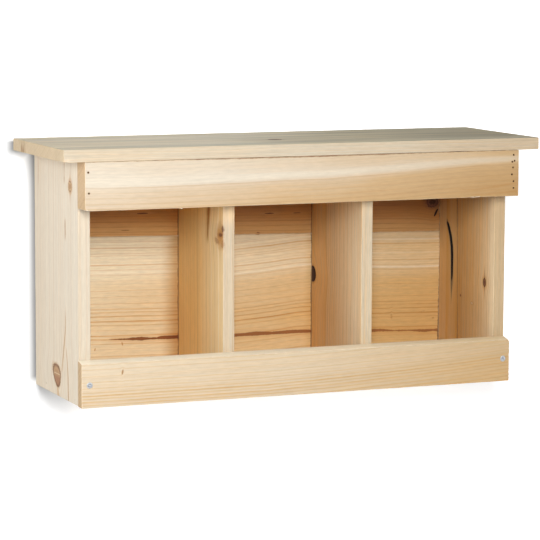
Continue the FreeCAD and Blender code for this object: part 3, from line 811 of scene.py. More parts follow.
wood_back_lower = wood(
    "back_lower_wood",
    "XZY",
    67.5,
    seed=3.0,
    spine=((-216.5, 2.0), (-127.0, 0.0), (-81.0, -0.9), (-60.0, -3.4), (-20.0, -6.0), (20.0, -3.6), (50.0, -0.9), (66.0, -0.4), (84.0, -2.0), (115.0, -5.4), (173.0, -6.8), (213.5, -7.6)),
    warp=1.3,
    warp_len=170.0,
    tremble=0.55,
    spacing=5.5,
    rings=0.16,
    slant=-1.3,
    bands=(
        (0.0, 0.56), (20.0, 0.54), (38.0, 0.64), (52.0, 0.68), (66.0, 0.66), (80.0, 0.62), (97.0, 0.55),
        (106.0, 0.38), (112.0, 0.12), (124.0, 0.18), (134.0, 0.24), (141.0, 0.08), (150.0, 0.1),
    ),
    lines=(
        (143.6, 0.5, 0.3), (142.1, 0.6, 0.38), (138.4, 0.4, 0.2), (135.9, 1.0, 0.62), (133.2, 0.5, 0.25), (130.1, 0.6, 0.36),
        (128.0, 0.5, 0.34), (124.2, 0.4, 0.2), (121.2, 0.5, 0.24), (118.6, 0.9, 0.58), (115.8, 0.4, 0.22), (113.4, 0.5, 0.34),
        (108.2, 0.6, 0.3), (99.0, 0.4, 0.2), (92.6, 0.6, 0.36), (86.5, 0.5, 0.3), (79.6, 0.6, 0.44), (73.8, 0.7, 0.56),
        (70.8, 0.7, 0.52), (66.7, 0.9, 0.72), (61.6, 1.1, 0.9), (57.4, 0.7, 0.46), (52.2, 0.5, 0.3), (46.8, 0.8, 0.8),
        (38.4, 0.6, 0.6), (33.0, 0.5, 0.3), (25.9, 0.8, 0.5), (18.4, 0.6, 0.36),
    ),
    line=(0.55, 0.25, 0.06),
    pale=(0.803, 0.692, 0.49),
    tan=(0.73, 0.47, 0.193),
    fibre=0.4,
    mottle=0.24,
    behind=(0.87, 0.93, 1.06),
    deep=(0.70, 0.385, 0.115),
    drift=((-216.5, -0.32), (-100.0, -0.22), (-40.0, 0.06), (20.0, 0.14), (120.0, 0.38), (213.5, 0.5)),
    glints=((110.6, 1.6, 0.5), (139.8, 0.9, 0.3), (126.0, 0.7, 0.2)),
    extras=(lower_light, knot_shadow, corner_gaps),
    knots=(
        dict(at=(-141.8, 38.4), size=(0.7, 1.3), lean=0.5, core=(0.54, 0.25, 0.07), core_two=(0.48, 0.21, 0.06), rim_colour=(0.46, 0.2, 0.06), glow=0.4, push=0.3, strong=0.75, ragged=0.6),
        dict(at=(-170.9, 34.1), size=(0.6, 1.1), lean=-0.5, core=(0.56, 0.28, 0.08), core_two=(0.50, 0.23, 0.07), rim_colour=(0.48, 0.21, 0.06), glow=0.4, push=0.3, strong=0.75, ragged=0.6),
        dict(at=(157.9, 51.7), size=(0.9, 2.2), lean=0.4, core=(0.62, 0.36, 0.13), core_two=(0.52, 0.27, 0.085), rim=0.3, glow=0.3, push=0.5, strong=0.6, ragged=0.9),
        dict(at=(194.6, 54.9), size=(1.9, 0.7), lean=-0.6, core=(0.70, 0.44, 0.18), core_two=(0.52, 0.27, 0.085), rim=0.3, glow=0.3, push=0.5, strong=0.6, ragged=0.9),
        dict(at=(206.5, 47.5), size=(1.2, 0.7), core=(0.55, 0.28, 0.08), core_two=(0.5, 0.24, 0.07), rim=0.3, glow=0.4, push=0.5, strong=0.6, ragged=0.9),
        dict(at=(5.7, 144.4), size=(2.2, 0.6), glow=0.5, rim=1.0, push=0.4, ragged=1.0, strong=0.8),
    ),
    traces=(
        dict(
            path=((-216.5, 45.2, 0.2), (-176.0, 44.2, 0.9), (-160.0, 43.4, 0.8), (-140.0, 43.2, 0.9), (-120.0, 43.0, 0.6)),
            colour=(0.60, 0.285, 0.08), strong=0.5, shaky=0.6, soft=0.7, fade=(14.0, 20.0), seed=12.0, grain=5.0, deep=3.0,
        ),
        dict(
            path=((-166.0, 43.5, 0.2), (-149.0, 43.3, 0.6), (-138.0, 43.0, 1.0), (-128.0, 42.9, 1.7), (-121.0, 42.6, 1.9), (-112.0, 42.3, 1.1), (-105.0, 42.2, 1.1), (-101.0, 42.6, 1.9), (-81.0, 42.4, 2.1), (-60.0, 41.3, 1.8)),
            colour=STREAK, shaky=0.7, soft=0.4, fade=(18.0, 1.0), halo=(5.0, 0.45, GOLD), seed=2.0, sunk=0.5, grain=4.0, deep=3.0,
        ),
        dict(
            path=((-60.0, 41.4, 2.0), (-30.0, 40.7, 1.9), (-8.0, 41.0, 1.8), (4.0, 41.3, 2.3), (22.0, 40.8, 1.7), (45.0, 41.2, 2.1), (66.0, 40.6, 1.8), (80.0, 40.0, 1.6)),
            colour=(0.29, 0.10, 0.03), strong=0.95, shaky=0.55, soft=0.5, fade=1.0, halo=(5.0, 0.5, GOLD), seed=5.0, sunk=0.5, grain=5.0, deep=3.0,
        ),
        dict(
            path=((80.0, 38.9, 1.4), (98.0, 38.2, 1.6), (112.0, 38.3, 1.2), (128.0, 37.6, 1.7), (146.0, 37.4, 1.5), (160.0, 36.2, 0.9), (178.0, 35.6, 0.9), (196.0, 34.3, 1.9), (206.0, 34.5, 1.4), (213.5, 34.2, 1.8)),
            colour=(0.31, 0.115, 0.034), strong=0.92, shaky=0.85, soft=0.6, fade=1.0, halo=(5.0, 0.65, (0.68, 0.36, 0.11)), seed=8.0, sunk=0.5, grain=4.0, deep=3.0,
        ),
    ),
)

# The upper back board is a browner wood than the lower one, and its front is darker from the seam upwards: heartwood,
# and painted shade under the top rail and roof. Its behind tint lifts its rear face back to a lighter wood.
wood_back_upper = wood(
    "back_upper_wood",
    "XZY",
    67.5,
    seed=11.0,
    spine=((-216.5, 2.0), (-127.0, 0.0), (20.0, -3.4), (173.0, -6.8), (213.5, -7.6)),
    warp=2.2,
    spacing=8.0,
    rings=0.2,
    slant=1.1,
    pale=(0.69, 0.42, 0.168),
    behind=(1.18, 1.6, 2.6),
    behind_rings=0.5,
    tan=(0.54, 0.245, 0.067),
    deep=(0.43, 0.168, 0.04),
    late=(0.36, 0.14, 0.04),
    line=(0.30, 0.115, 0.035),
    extras=(upper_light, corner_gaps),
    bands=((146.0, 0.46), (152.0, 0.54), (157.0, 0.64), (161.0, 0.8), (165.0, 0.98), (171.0, 1.12), (178.0, 1.26), (200.0, 1.15), (236.0, 0.95)),
    lines=((149.4, 0.5, 0.3), (152.0, 0.6, 0.35), (157.0, 0.6, 0.4), (162.0, 0.9, 0.45), (168.0, 0.7, 0.3), (176.0, 0.8, 0.4), (183.0, 0.7, 0.4)),
    knots=(
        dict(at=(-119.7, 170.4), size=(5.4, 0.62), rim=1.0, rim_colour=(0.10, 0.034, 0.014), core=(0.13, 0.05, 0.02), core_two=(0.09, 0.03, 0.014), glow=0.45, halo=3.2, ragged=0.9, strong=0.85),
        dict(at=(-138.4, 153.8), size=(4.4, 0.6), rim=1.0, rim_colour=(0.2, 0.075, 0.026), core=(0.26, 0.11, 0.036), glow=0.4, halo=3.4, ragged=1.0, strong=0.6),
        dict(at=(18.4, 165.5), size=(5.2, 0.6), rim=1.0, rim_colour=(0.10, 0.034, 0.014), core=(0.13, 0.05, 0.02), core_two=(0.09, 0.03, 0.014), glow=0.45, halo=3.0, ragged=0.9, strong=0.85),
        dict(at=(49.2, 165.0), size=(4.2, 0.5), strong=0.8, rim=1.0, rim_colour=(0.1, 0.034, 0.016), core=(0.14, 0.055, 0.022), core_two=(0.1, 0.034, 0.016), glow=0.4, halo=2.4, ragged=0.7),
        dict(at=(6.4, 145.9), size=(1.7, 0.7), lean=0.4, rim=1.0, glow=0.6, push=0.4, ragged=1.0),
        dict(
            at=(204.4, 171.2), size=(7.0, 5.6), core=(0.23, 0.094, 0.052), core_two=(0.085, 0.031, 0.02), whorls=5.6, rim=0.7, strong=0.92,
            rim_colour=(0.085, 0.03, 0.02), glow=0.75, halo=1.9, halo_colour=(0.30, 0.13, 0.055), push=0.6, ragged=0.9,
        ),
    ),
    traces=(
        dict(path=((206.2, 156.2, 0.6), (207.4, 157.9, 2.1), (209.2, 160.6, 2.3), (211.4, 163.8, 0.6)), colour=(0.03, 0.012, 0.008), shaky=0.2, soft=0.3, fade=0.4, grain=2.0, halo=(2.0, 0.5, BROWN), seed=4.0, sunk=0.8),
    ),
)

def knot_crack(t, colour):
    """A pale check across the large knot of the left side."""
    ragged = t.noise(t.vec(t.mul(t.v, 0.45), t.mul(t.u, 0.1), 2.0), detail=2.0)
    off = t.math("ABSOLUTE", t.sub(t.muladd(t.sub(ragged, 0.5), 2.4, t.u), 21.9))
    mask = t.mul(t.span(off, 0.25, 0.75, 0.6, 0.0), t.span(t.math("ABSOLUTE", t.sub(t.v, 11.6)), 7.5, 10.5, 1.0, 0.0))
    return t.mix(mask, colour, (0.74, 0.56, 0.37))


wood_left_side = wood(
    "left_side_wood",
    "ZYX",
    -228.5,
    seed=21.0,
    warp=3.0,
    warp_len=240.0,
    spacing=8.0,
    rings=0.2,
    slant=0.9,
    pale=(0.73, 0.63, 0.49),
    front=(0.875, 0.885, 0.895),
    tan=(0.66, 0.49, 0.31),
    bands=((-58.5, 0.2), (-46.0, 0.12), (-36.0, 0.22), (-20.0, 0.14), (-4.0, 0.26), (12.0, 0.16), (30.0, 0.24), (50.0, 0.2), (66.0, 0.42), (74.0, 0.3), (82.5, 0.4)),
    lines=((-52.0, 0.6, 0.25), (-41.0, 0.6, 0.2), (-29.0, 0.7, 0.25), (3.0, 0.8, 0.25), (21.0, 0.7, 0.22), (37.0, 0.7, 0.26), (48.0, 0.7, 0.3), (58.0, 0.7, 0.2), (73.0, 0.8, 0.35)),
    strand=0.3,
    cloud=0.25,
    extras=(knot_crack,),
    knots=(
        dict(at=(209.6, -33.9), size=(5.6, 5.2), core=(0.60, 0.39, 0.19), core_two=(0.36, 0.18, 0.07), whorls=6.0, rim=1.0, rim_colour=(0.25, 0.11, 0.042), tail=(0.5, 3.6, 0.8), tail_colour=(0.46, 0.25, 0.10), glow=0.5, halo=1.8, push=0.9, ragged=0.7),
        dict(at=(19.8, 11.6), size=(11.4, 11.8), lean=-0.25, taper=-0.3, core=(0.53, 0.33, 0.175), core_two=(0.44, 0.25, 0.12), lower=(0.37, 0.175, 0.088), whorls=5.0, rim=0.95, rim_colour=(0.20, 0.092, 0.042), glow=0.5, halo=1.3, halo_colour=(0.54, 0.32, 0.14), push=0.8, ragged=0.4),
    ),
    traces=(
        dict(path=((209.0, -15.6, 0.2), (216.0, -15.7, 0.9), (221.0, -15.6, 0.3), (229.4, -15.6, 0.8), (235.0, -15.6, 0.2)), colour=(0.36, 0.165, 0.06), strong=0.95, shaky=0.3, soft=0.8, seed=3.0, fade=5.0, halo=(4.0, 0.3, TAN)),
        dict(path=((154.0, -17.5, 0.4), (163.0, -17.7, 1.1), (170.0, -17.4, 1.2), (180.0, -17.5, 0.4)), colour=(0.36, 0.16, 0.055), strong=1.0, shaky=0.3, soft=0.9, seed=4.0, fade=6.0, halo=(4.0, 0.3, TAN)),
        dict(path=((178.0, 50.0, 0.3), (190.0, 50.2, 0.5), (202.0, 50.0, 0.2)), colour=(0.52, 0.30, 0.13), strong=0.6, shaky=0.3, soft=0.8, seed=5.0, fade=8.0),
        dict(path=((194.0, 69.0, 0.3), (212.0, 69.2, 1.5), (226.0, 68.8, 1.3), (236.5, 69.0, 0.8)), colour=(0.50, 0.25, 0.10), strong=0.6, shaky=0.5, soft=1.6, seed=6.0, fade=(14.0, 1.0)),
        dict(path=((24.0, -3.6, 0.6), (38.7, -8.0, 0.8), (59.1, -13.8, 1.0), (68.2, -16.0, 0.9), (80.9, -16.4, 0.6), (96.0, -16.4, 0.2)), colour=(0.39, 0.18, 0.055), strong=1.0, shaky=0.3, soft=0.7, seed=7.0, fade=(3.0, 18.0), halo=(3.2, 0.25, GOLD)),
        dict(path=((0.0, -24.8, 1.0), (23.3, -23.7, 0.9), (38.8, -21.6, 0.7), (55.0, -17.3, 0.35)), colour=(0.40, 0.185, 0.062), strong=1.0, shaky=0.3, soft=0.7, seed=8.0, fade=(0.1, 8.0), halo=(3.0, 0.25, GOLD)),
        dict(path=((0.0, 7.5, 4.6), (4.0, 8.6, 3.6), (9.5, 11.0, 2.4)), colour=(0.56, 0.33, 0.14), strong=0.7, shaky=0.8, soft=2.0, seed=9.0, fade=(0.1, 3.0)),
    ),
)

wood_right_front = wood(
    "right_side_wood",
    "ZYX",
    213.5,
    seed=31.0,
    warp=1.6,
    spacing=4.2,
    rings=0.34,
    slant=-0.9,
    pale=(0.80, 0.625, 0.388),
    strand=0.85,
    streaks=0.55,
    fibre=0.4,
    front=(0.708, 0.665, 0.63),
    tan=(0.60, 0.312, 0.09),
    deep=(0.508, 0.242, 0.062),
    bands=((-58.5, 0.06), (-52.0, 0.1), (-46.0, 0.3), (-38.0, 0.48), (-25.0, 0.6), (-10.0, 0.7), (5.0, 0.8), (16.0, 0.9), (29.0, 0.98)),
    lines=((25.0, 0.6, 0.6), (20.5, 0.6, 0.5), (15.0, 0.6, 0.6), (9.0, 0.5, 0.45), (3.0, 0.6, 0.6), (-5.0, 0.5, 0.48), (-11.5, 0.6, 0.6), (-18.0, 0.5, 0.45), (-24.5, 0.6, 0.6), (-31.0, 0.5, 0.45), (-43.0, 0.6, 0.5), (-48.0, 0.5, 0.42)),
    line=(0.37, 0.175, 0.06),
    knots=(
        dict(at=(97.7, -37.8), size=(4.8, 3.4), core=(0.2, 0.075, 0.035), core_two=(0.13, 0.046, 0.024), rim=0.9, rim_colour=(0.10, 0.035, 0.018), tail=(0.5, 4.6, 0.9), tail_colour=(0.33, 0.14, 0.05), glow=0.65, halo=2.1, push=1.3),
        dict(at=(77.5, 16.7), size=(1.2, 1.5), core=(0.3, 0.13, 0.05), glow=0.5, push=0.5),
        dict(at=(72.6, -9.6), size=(1.5, 2.6), core=(0.72, 0.52, 0.3), core_two=(0.5, 0.28, 0.11), rim=0.3, glow=0.35, push=0.7),
    ),
    wear=0.12,
    scrape=0.04,
    traces=(
        dict(path=((0.0, 22.3, 0.9), (60.0, 23.9, 0.7), (110.0, 25.3, 0.6), (160.0, 26.7, 0.9), (236.5, 28.9, 1.1)), colour=(0.12, 0.05, 0.02), strong=0.85, shaky=0.5, soft=0.6, seed=6.0, grain=14.0, fade=0.01, deep=4.0),
    ),
)

wood_right_rear = wood(
    "right_strip_wood",
    "ZYX",
    213.5,
    seed=37.0,
    warp=1.0,
    spacing=6.5,
    rings=0.25,
    slant=0.7,
    tan=(0.62, 0.32, 0.076),
    deep=(0.56, 0.27, 0.06),
    bands=((22.0, 1.0), (34.0, 0.8), (42.0, 0.78), (50.0, 0.9), (53.0, 0.72), (82.5, 0.8)),
    lines=((33.0, 0.6, 0.3), (56.5, 0.6, 0.3), (61.5, 0.6, 0.3)),
    wear=0.12,
    scrape=0.0,
    traces=(
        dict(path=((60.0, 38.8, 0.5), (78.0, 38.5, 1.4), (87.0, 38.1, 2.4), (94.0, 37.9, 2.8), (117.1, 38.0, 3.4), (126.7, 38.9, 3.4), (138.1, 42.1, 3.3), (150.2, 49.0, 2.4), (156.0, 51.2, 0.8)), colour=(0.13, 0.105, 0.06), strong=0.8, shaky=0.35, soft=1.1, seed=2.0, fade=(22.0, 3.0), deep=5.0, halo=(3.0, 0.35, (0.40, 0.29, 0.15))),
        dict(path=((88.0, 38.0, 0.5), (93.6, 37.8, 1.7), (99.5, 37.6, 2.4), (107.3, 37.7, 2.7), (117.1, 37.8, 2.9), (126.7, 38.7, 3.0), (138.1, 41.9, 3.0), (146.0, 46.0, 3.0), (150.2, 48.8, 2.7), (152.4, 50.2, 1.4)), colour=(0.008, 0.0065, 0.0055), shaky=0.2, soft=0.4, seed=3.0, fade=(5.0, 1.0), deep=6.0, sunk=1.2),
        dict(path=((0.0, 22.7, 0.9), (60.0, 24.3, 0.7), (110.0, 25.7, 0.6), (160.0, 27.1, 0.9), (236.5, 29.3, 1.1)), colour=(0.12, 0.05, 0.02), strong=0.85, shaky=0.5, soft=0.6, seed=6.0, grain=14.0, fade=0.01, deep=4.0),
        dict(path=((148.0, 50.6, 0.35), (176.0, 51.6, 0.35), (236.0, 52.4, 0.3)), colour=(0.28, 0.13, 0.05), strong=0.8, shaky=0.15, soft=0.5, seed=4.0, fade=3.0),
    ),
)

def painted_upright_light(low, high, tint):
    """Painted light, fitted to the photo: an upright is lighter towards its top, where the shadow under the top rail
    falls softer.
    """

    def shade(t, colour):
        return t.mix(t.span(t.u, low, high), colour, tint, mode="MULTIPLY")

    return shade


wood_left_divider = wood(
    "left_divider_wood",
    "ZYX",
    -81.17,
    seed=41.0,
    warp=1.8,
    spacing=7.0,
    rings=0.25,
    slant=0.8,
    tan=(0.885, 0.565, 0.226),
    deep=(0.79, 0.445, 0.131),
    pale=(0.715, 0.567, 0.33),
    front=(0.785, 0.862, 1.15),
    scrape=0.06,
    extras=(painted_upright_light(163.0, 182.0, (1.2, 1.12, 1.0)),),
    strand=0.6,
    bands=((-58.5, 0.36), (-50.0, 0.4), (-44.0, 0.36), (-30.0, 0.42), (-22.0, 0.56), (-8.0, 0.72), (0.0, 0.84), (12.0, 1.06), (30.0, 1.02), (50.0, 0.98), (67.5, 1.0)),
    lines=((55.0, 0.5, 0.2), (44.0, 0.5, 0.22), (33.0, 0.6, 0.26), (22.0, 0.5, 0.25), (13.0, 0.8, 0.5), (6.0, 0.5, 0.3), (-1.5, 0.5, 0.4), (-13.0, 0.5, 0.5), (-22.0, 0.5, 0.5), (-28.0, 0.5, 0.45), (-34.0, 0.6, 0.6), (-38.5, 0.5, 0.4), (-42.0, 0.5, 0.5), (-50.0, 0.5, 0.5)),
    line=(0.44, 0.22, 0.08),
    glints=((-26.0, 1.4, 0.4), (-46.0, 1.8, 0.4)),
    knots=(
        dict(at=(158.0, -50.5), size=(8.0, 8.0), core=(0.56, 0.285, 0.082), core_two=(0.47, 0.22, 0.06), whorls=5.0, rim=0.3, rim_colour=(0.46, 0.21, 0.06), glow=0.6, halo=2.2, push=0.9, ragged=1.1, strong=0.78, tail=(0.8, 3.6, 0.4), tail_colour=(0.44, 0.23, 0.085), sink=1.8),
        dict(at=(159.2, -51.6), size=(1.9, 5.0), lean=0.3, core=(0.21, 0.072, 0.022), core_two=(0.15, 0.048, 0.016), rim=0.6, rim_colour=(0.3, 0.115, 0.034), glow=0.7, halo=2.2, halo_colour=(0.36, 0.16, 0.05), push=0.0, ragged=1.2, sink=1.8),
        dict(at=(165.2, -57.2), size=(3.0, 2.6), core=(0.20, 0.08, 0.03), core_two=(0.15, 0.055, 0.02), rim=0.5, rim_colour=(0.28, 0.12, 0.045), glow=0.6, halo=2.0, halo_colour=(0.40, 0.19, 0.06), push=0.0, ragged=1.0, sink=1.8),
        dict(at=(152.4, -41.5), size=(2.6, 5.4), lean=-0.3, core=(0.42, 0.22, 0.085), core_two=(0.36, 0.18, 0.07), rim=0.2, glow=0.4, halo=2.0, push=0.0, ragged=1.3, strong=0.7, sink=1.8),
        dict(at=(150.4, -57.0), size=(4.0, 2.8), core=(0.44, 0.20, 0.06), core_two=(0.38, 0.17, 0.05), rim=0.2, glow=0.5, halo=2.0, push=0.0, ragged=1.0, strong=0.75, sink=1.8),
    ),
    traces=(
        dict(path=((145.0, -15.0, 0.3), (157.0, -15.6, 1.6), (168.0, -17.0, 2.8), (178.0, -18.2, 3.8), (190.0, -19.0, 4.2), (236.5, -20.0, 3.6)), colour=(0.36, 0.13, 0.03), strong=0.95, shaky=0.9, soft=1.6, seed=3.0, fade=(8.0, 1.0), halo=(6.0, 0.5, (0.52, 0.27, 0.085))),
    ),
)

wood_right_divider = wood(
    "right_divider_wood",
    "ZYX",
    66.17,
    seed=47.0,
    warp=1.6,
    spacing=5.0,
    rings=0.32,
    slant=-0.8,
    pale=(0.693, 0.587, 0.407),
    front=(0.86, 0.95, 1.105),
    fibre=0.38,
    scrape=0.06,
    extras=(painted_upright_light(168.0, 186.0, (1.16, 1.14, 1.1)),),
    strand=0.95,
    streaks=0.55,
    tan=(0.716, 0.422, 0.173),
    deep=(0.60, 0.296, 0.072),
    bands=((-58.5, 0.44), (-48.0, 0.36), (-42.0, 0.3), (-30.0, 0.46), (-10.0, 0.6), (10.0, 0.68), (24.0, 0.74), (30.5, 0.78), (31.5, 1.05), (46.0, 0.95), (67.5, 1.1)),
    lines=((31.4, 0.8, 0.75), (26.5, 0.6, 0.5), (21.0, 0.6, 0.65), (15.5, 0.5, 0.4), (11.0, 0.6, 0.55), (4.5, 0.6, 0.6), (-3.5, 0.6, 0.5), (-13.5, 0.6, 0.55), (-22.0, 0.7, 0.65), (-33.0, 0.5, 0.45), (-41.0, 0.5, 0.4), (-50.0, 0.5, 0.4)),
    line=(0.38, 0.18, 0.07),
    knots=(
        dict(at=(101.2, 66.0), size=(8.3, 8.2), core=(0.09, 0.034, 0.014), core_two=(0.05, 0.02, 0.009), rim=0.6, rim_colour=(0.05, 0.02, 0.01), glow=0.6, halo=1.5, halo_colour=(0.36, 0.18, 0.07), push=1.6, reach=3.2),
    ),
)

wood_floor = wood(
    "floor_wood",
    "XYZ",
    0.0,
    seed=53.0,
    warp=3.0,
    spacing=7.0,
    rings=0.35,
    slant=1.0,
    bands=((-58.5, 0.3), (-30.0, 0.45), (0.0, 0.6), (30.0, 0.45), (67.5, 0.55)),
    lines=((-44.0, 0.8, 0.4), (-21.0, 0.8, 0.4), (8.0, 0.8, 0.45), (25.0, 0.7, 0.4), (49.0, 0.8, 0.4)),
    knots=(dict(at=(132.0, 12.0), size=(6.0, 5.0)), dict(at=(-48.0, -30.0), size=(3.0, 2.4))),
)

def end_patch(t, colour):
    """Brown heartwood on the left end of the front board, next to the seam."""
    fibres = t.noise(t.vec(t.mul(t.v, 0.36), t.mul(t.w, 0.06), 3.0), detail=3.0, rough=0.6)
    lower = t.span(t.w, 238.0, 247.5, 1.0, 0.4)
    mask = t.mul(t.span(t.v, 39.6, 41.2), t.span(fibres, 0.42, 0.56, 0.2, 0.95))
    mask = t.mul(t.mul(mask, lower), t.end)
    mask = t.mul(mask, t.span(t.u, -247.0, -245.0, 1.0, 0.0))
    return t.mix(mask, colour, (0.34, 0.20, 0.10))


wood_roof_front = wood(
    "roof_wood",
    "XYZ",
    248.5,
    seed=61.0,
    warp=4.5,
    warp_len=210.0,
    spacing=6.0,
    rings=0.26,
    slant=1.6,
    bow=-0.02,
    strand=0.95,
    streaks=0.4,
    fibre=0.34,
    broad=0.85,
    front=(0.855, 0.868, 0.893),
    extras=(end_patch,),
    end_rings=0.22,
    end_lo=(0.52, 0.37, 0.21),
    end_hi=(0.70, 0.55, 0.36),
    bands=((-110.0, 0.3), (-94.0, 0.22), (-84.0, 0.3), (-60.0, 0.34), (-30.0, 0.44), (0.0, 0.4), (30.0, 0.46), (57.0, 0.42)),
    drift=((-250.0, 0.06), (-150.0, 0.06), (-60.0, -0.02), (60.0, 0.06), (160.0, 0.2), (250.0, 0.38)),
    lines=((-100.0, 0.7, 0.2), (-95.5, 0.8, 0.24), (-91.0, 0.7, 0.2), (-87.0, 0.7, 0.2), (-60.0, 0.8, 0.4), (-44.0, 0.8, 0.4), (-12.0, 0.9, 0.45), (12.0, 0.8, 0.4), (33.0, 0.8, 0.4)),
    # painted light on the roof's top: a tint, changing from left to right, for the light and sheen on it
    weather=((0.87, 0.90, 0.80), (0.95, 1.04, 1.03), (0.865, 1.015, 1.12)),
    pale=(0.69, 0.61, 0.465),
    wear=0.22,
    knots=(
        dict(at=(-11.8, -21.0), size=(7.2, 6.4), core=(0.27, 0.15, 0.085), core_two=(0.18, 0.095, 0.055), whorls=6.0, rim=0.8, rim_colour=(0.13, 0.065, 0.037), glow=0.5, halo=1.8, halo_colour=(0.42, 0.28, 0.15), tail=(0.6, 7.0, 0.7), tail_colour=(0.36, 0.24, 0.13), push=1.0),
    ),
    traces=(
        dict(path=((-244.0, -15.2, 0.5), (-226.0, -14.4, 1.4), (-190.0, -13.8, 1.2), (-120.0, -13.0, 0.6)), colour=(0.42, 0.27, 0.14), strong=0.6, shaky=0.7, soft=2.0, seed=3.0, fade=(10.0, 50.0)),
    ),
)

wood_roof_rear = wood(
    "roof_strip_wood",
    "XYZ",
    248.5,
    seed=67.0,
    warp=3.0,
    spacing=6.5,
    rings=0.34,
    slant=-1.2,
    bands=((40.0, 0.5), (57.0, 0.5), (70.0, 0.42), (100.0, 0.5)),
    drift=((-250.0, 0.0), (250.0, 0.2)),
    lines=((61.0, 0.8, 0.4), (68.0, 0.8, 0.4), (77.0, 0.8, 0.4)),
    strand=0.95,
    streaks=0.4,
    broad=0.85,
    scrape=0.0,
    wear_colour=(0.36, 0.28, 0.18),
    end_rings=0.22,
    end_lo=(0.52, 0.37, 0.21),
    end_hi=(0.70, 0.55, 0.36),
    # painted light on the roof's top: a tint, changing from left to right, for the light and sheen on it
    weather=((0.87, 0.90, 0.80), (0.95, 1.04, 1.03), (0.865, 1.015, 1.12)),
    pale=(0.69, 0.61, 0.465),
    wear=0.22,
)

wood_top_rail = wood(
    "top_rail_wood",
    "XZY",
    -82.5,
    seed=71.0,
    spine=((-230.0, 212.6), (-164.0, 211.8), (-70.0, 212.8), (21.7, 214.4), (80.0, 216.9), (137.2, 220.3), (180.0, 222.3), (228.0, 222.9)),
    warp=0.7,
    warp_len=160.0,
    tremble=0.3,
    spacing=7.0,
    rings=0.06,
    slant=0.7,
    bands=(
        (-32.0, 1.0), (-24.0, 0.95), (-14.0, 0.8), (-6.0, 0.7), (-3.2, 0.66), (0.6, 0.3), (3.2, 0.04), (6.0, 0.02), (9.0, 0.2), (14.0, 0.36), (26.0, 0.44),
    ),
    end_rings=0.3,
    end_lo=(0.47, 0.285, 0.13),
    end_hi=(0.68, 0.47, 0.255),
    drift=((-230.0, -0.36), (-150.0, -0.22), (0.0, 0.08), (120.0, 0.36), (228.0, 0.78)),
    lines=((-0.4, 1.0, 0.3), (-5.5, 0.9, 0.14), (-10.5, 1.0, 0.22), (-16.0, 1.0, 0.26), (-20.5, 1.2, 0.28), (-25.0, 1.0, 0.24), (9.0, 0.8, 0.08), (12.6, 0.6, 0.06), (16.4, 0.8, 0.08), (19.6, 0.6, 0.06)),
    line=(0.41, 0.21, 0.068),
    pale=(0.66, 0.573, 0.452),
    tan=(0.555, 0.377, 0.2),
    deep=(0.462, 0.272, 0.106),
    fibre=0.26,
    fleck=0.16,
    strand=0.34,
    cloud=0.3,
    glints=((5.2, 5.0, 0.22),),
    glint=(0.74, 0.665, 0.53),
    knots=tuple(
        dict(at=spot, size=(1.0, 1.0), core=(0.10, 0.036, 0.016), core_two=(0.07, 0.025, 0.011), rim=0.7, rim_colour=(0.24, 0.105, 0.045), glow=0.25, halo=1.8, halo_colour=(0.5, 0.29, 0.13), push=0.0, ragged=0.4)
        for spot in ((-225.9, 226.7), (-225.3, 207.0), (221.9, 231.6), (220.4, 224.7), (223.0, 225.6), (221.3, 219.0), (220.1, 212.0), (222.0, 205.1), (222.1, 198.3))
    ),
    traces=(
        dict(path=((-229.0, 236.4, 0.3), (-150.0, 236.3, 0.5), (-60.0, 236.1, 0.9), (20.0, 236.1, 1.0), (90.0, 236.2, 0.8), (150.0, 236.3, 0.5), (227.0, 236.4, 0.45)), colour=(0.20, 0.085, 0.03), strong=0.85, shaky=0.8, soft=0.6, seed=4.0, grain=7.0, fade=2.0, deep=14.0),
        dict(path=((150.0, 199.0, 0.3), (178.0, 198.0, 1.1), (205.0, 200.5, 1.5), (227.0, 204.0, 1.2)), colour=(0.44, 0.21, 0.06), strong=0.55, shaky=1.0, soft=2.2, seed=7.0, fade=(18.0, 1.0)),
        dict(path=((165.0, 193.5, 0.3), (190.0, 193.0, 1.2), (227.0, 195.0, 1.4)), colour=(0.44, 0.21, 0.06), strong=0.55, shaky=1.0, soft=2.0, seed=9.0, fade=(16.0, 1.0)),
    ),
)

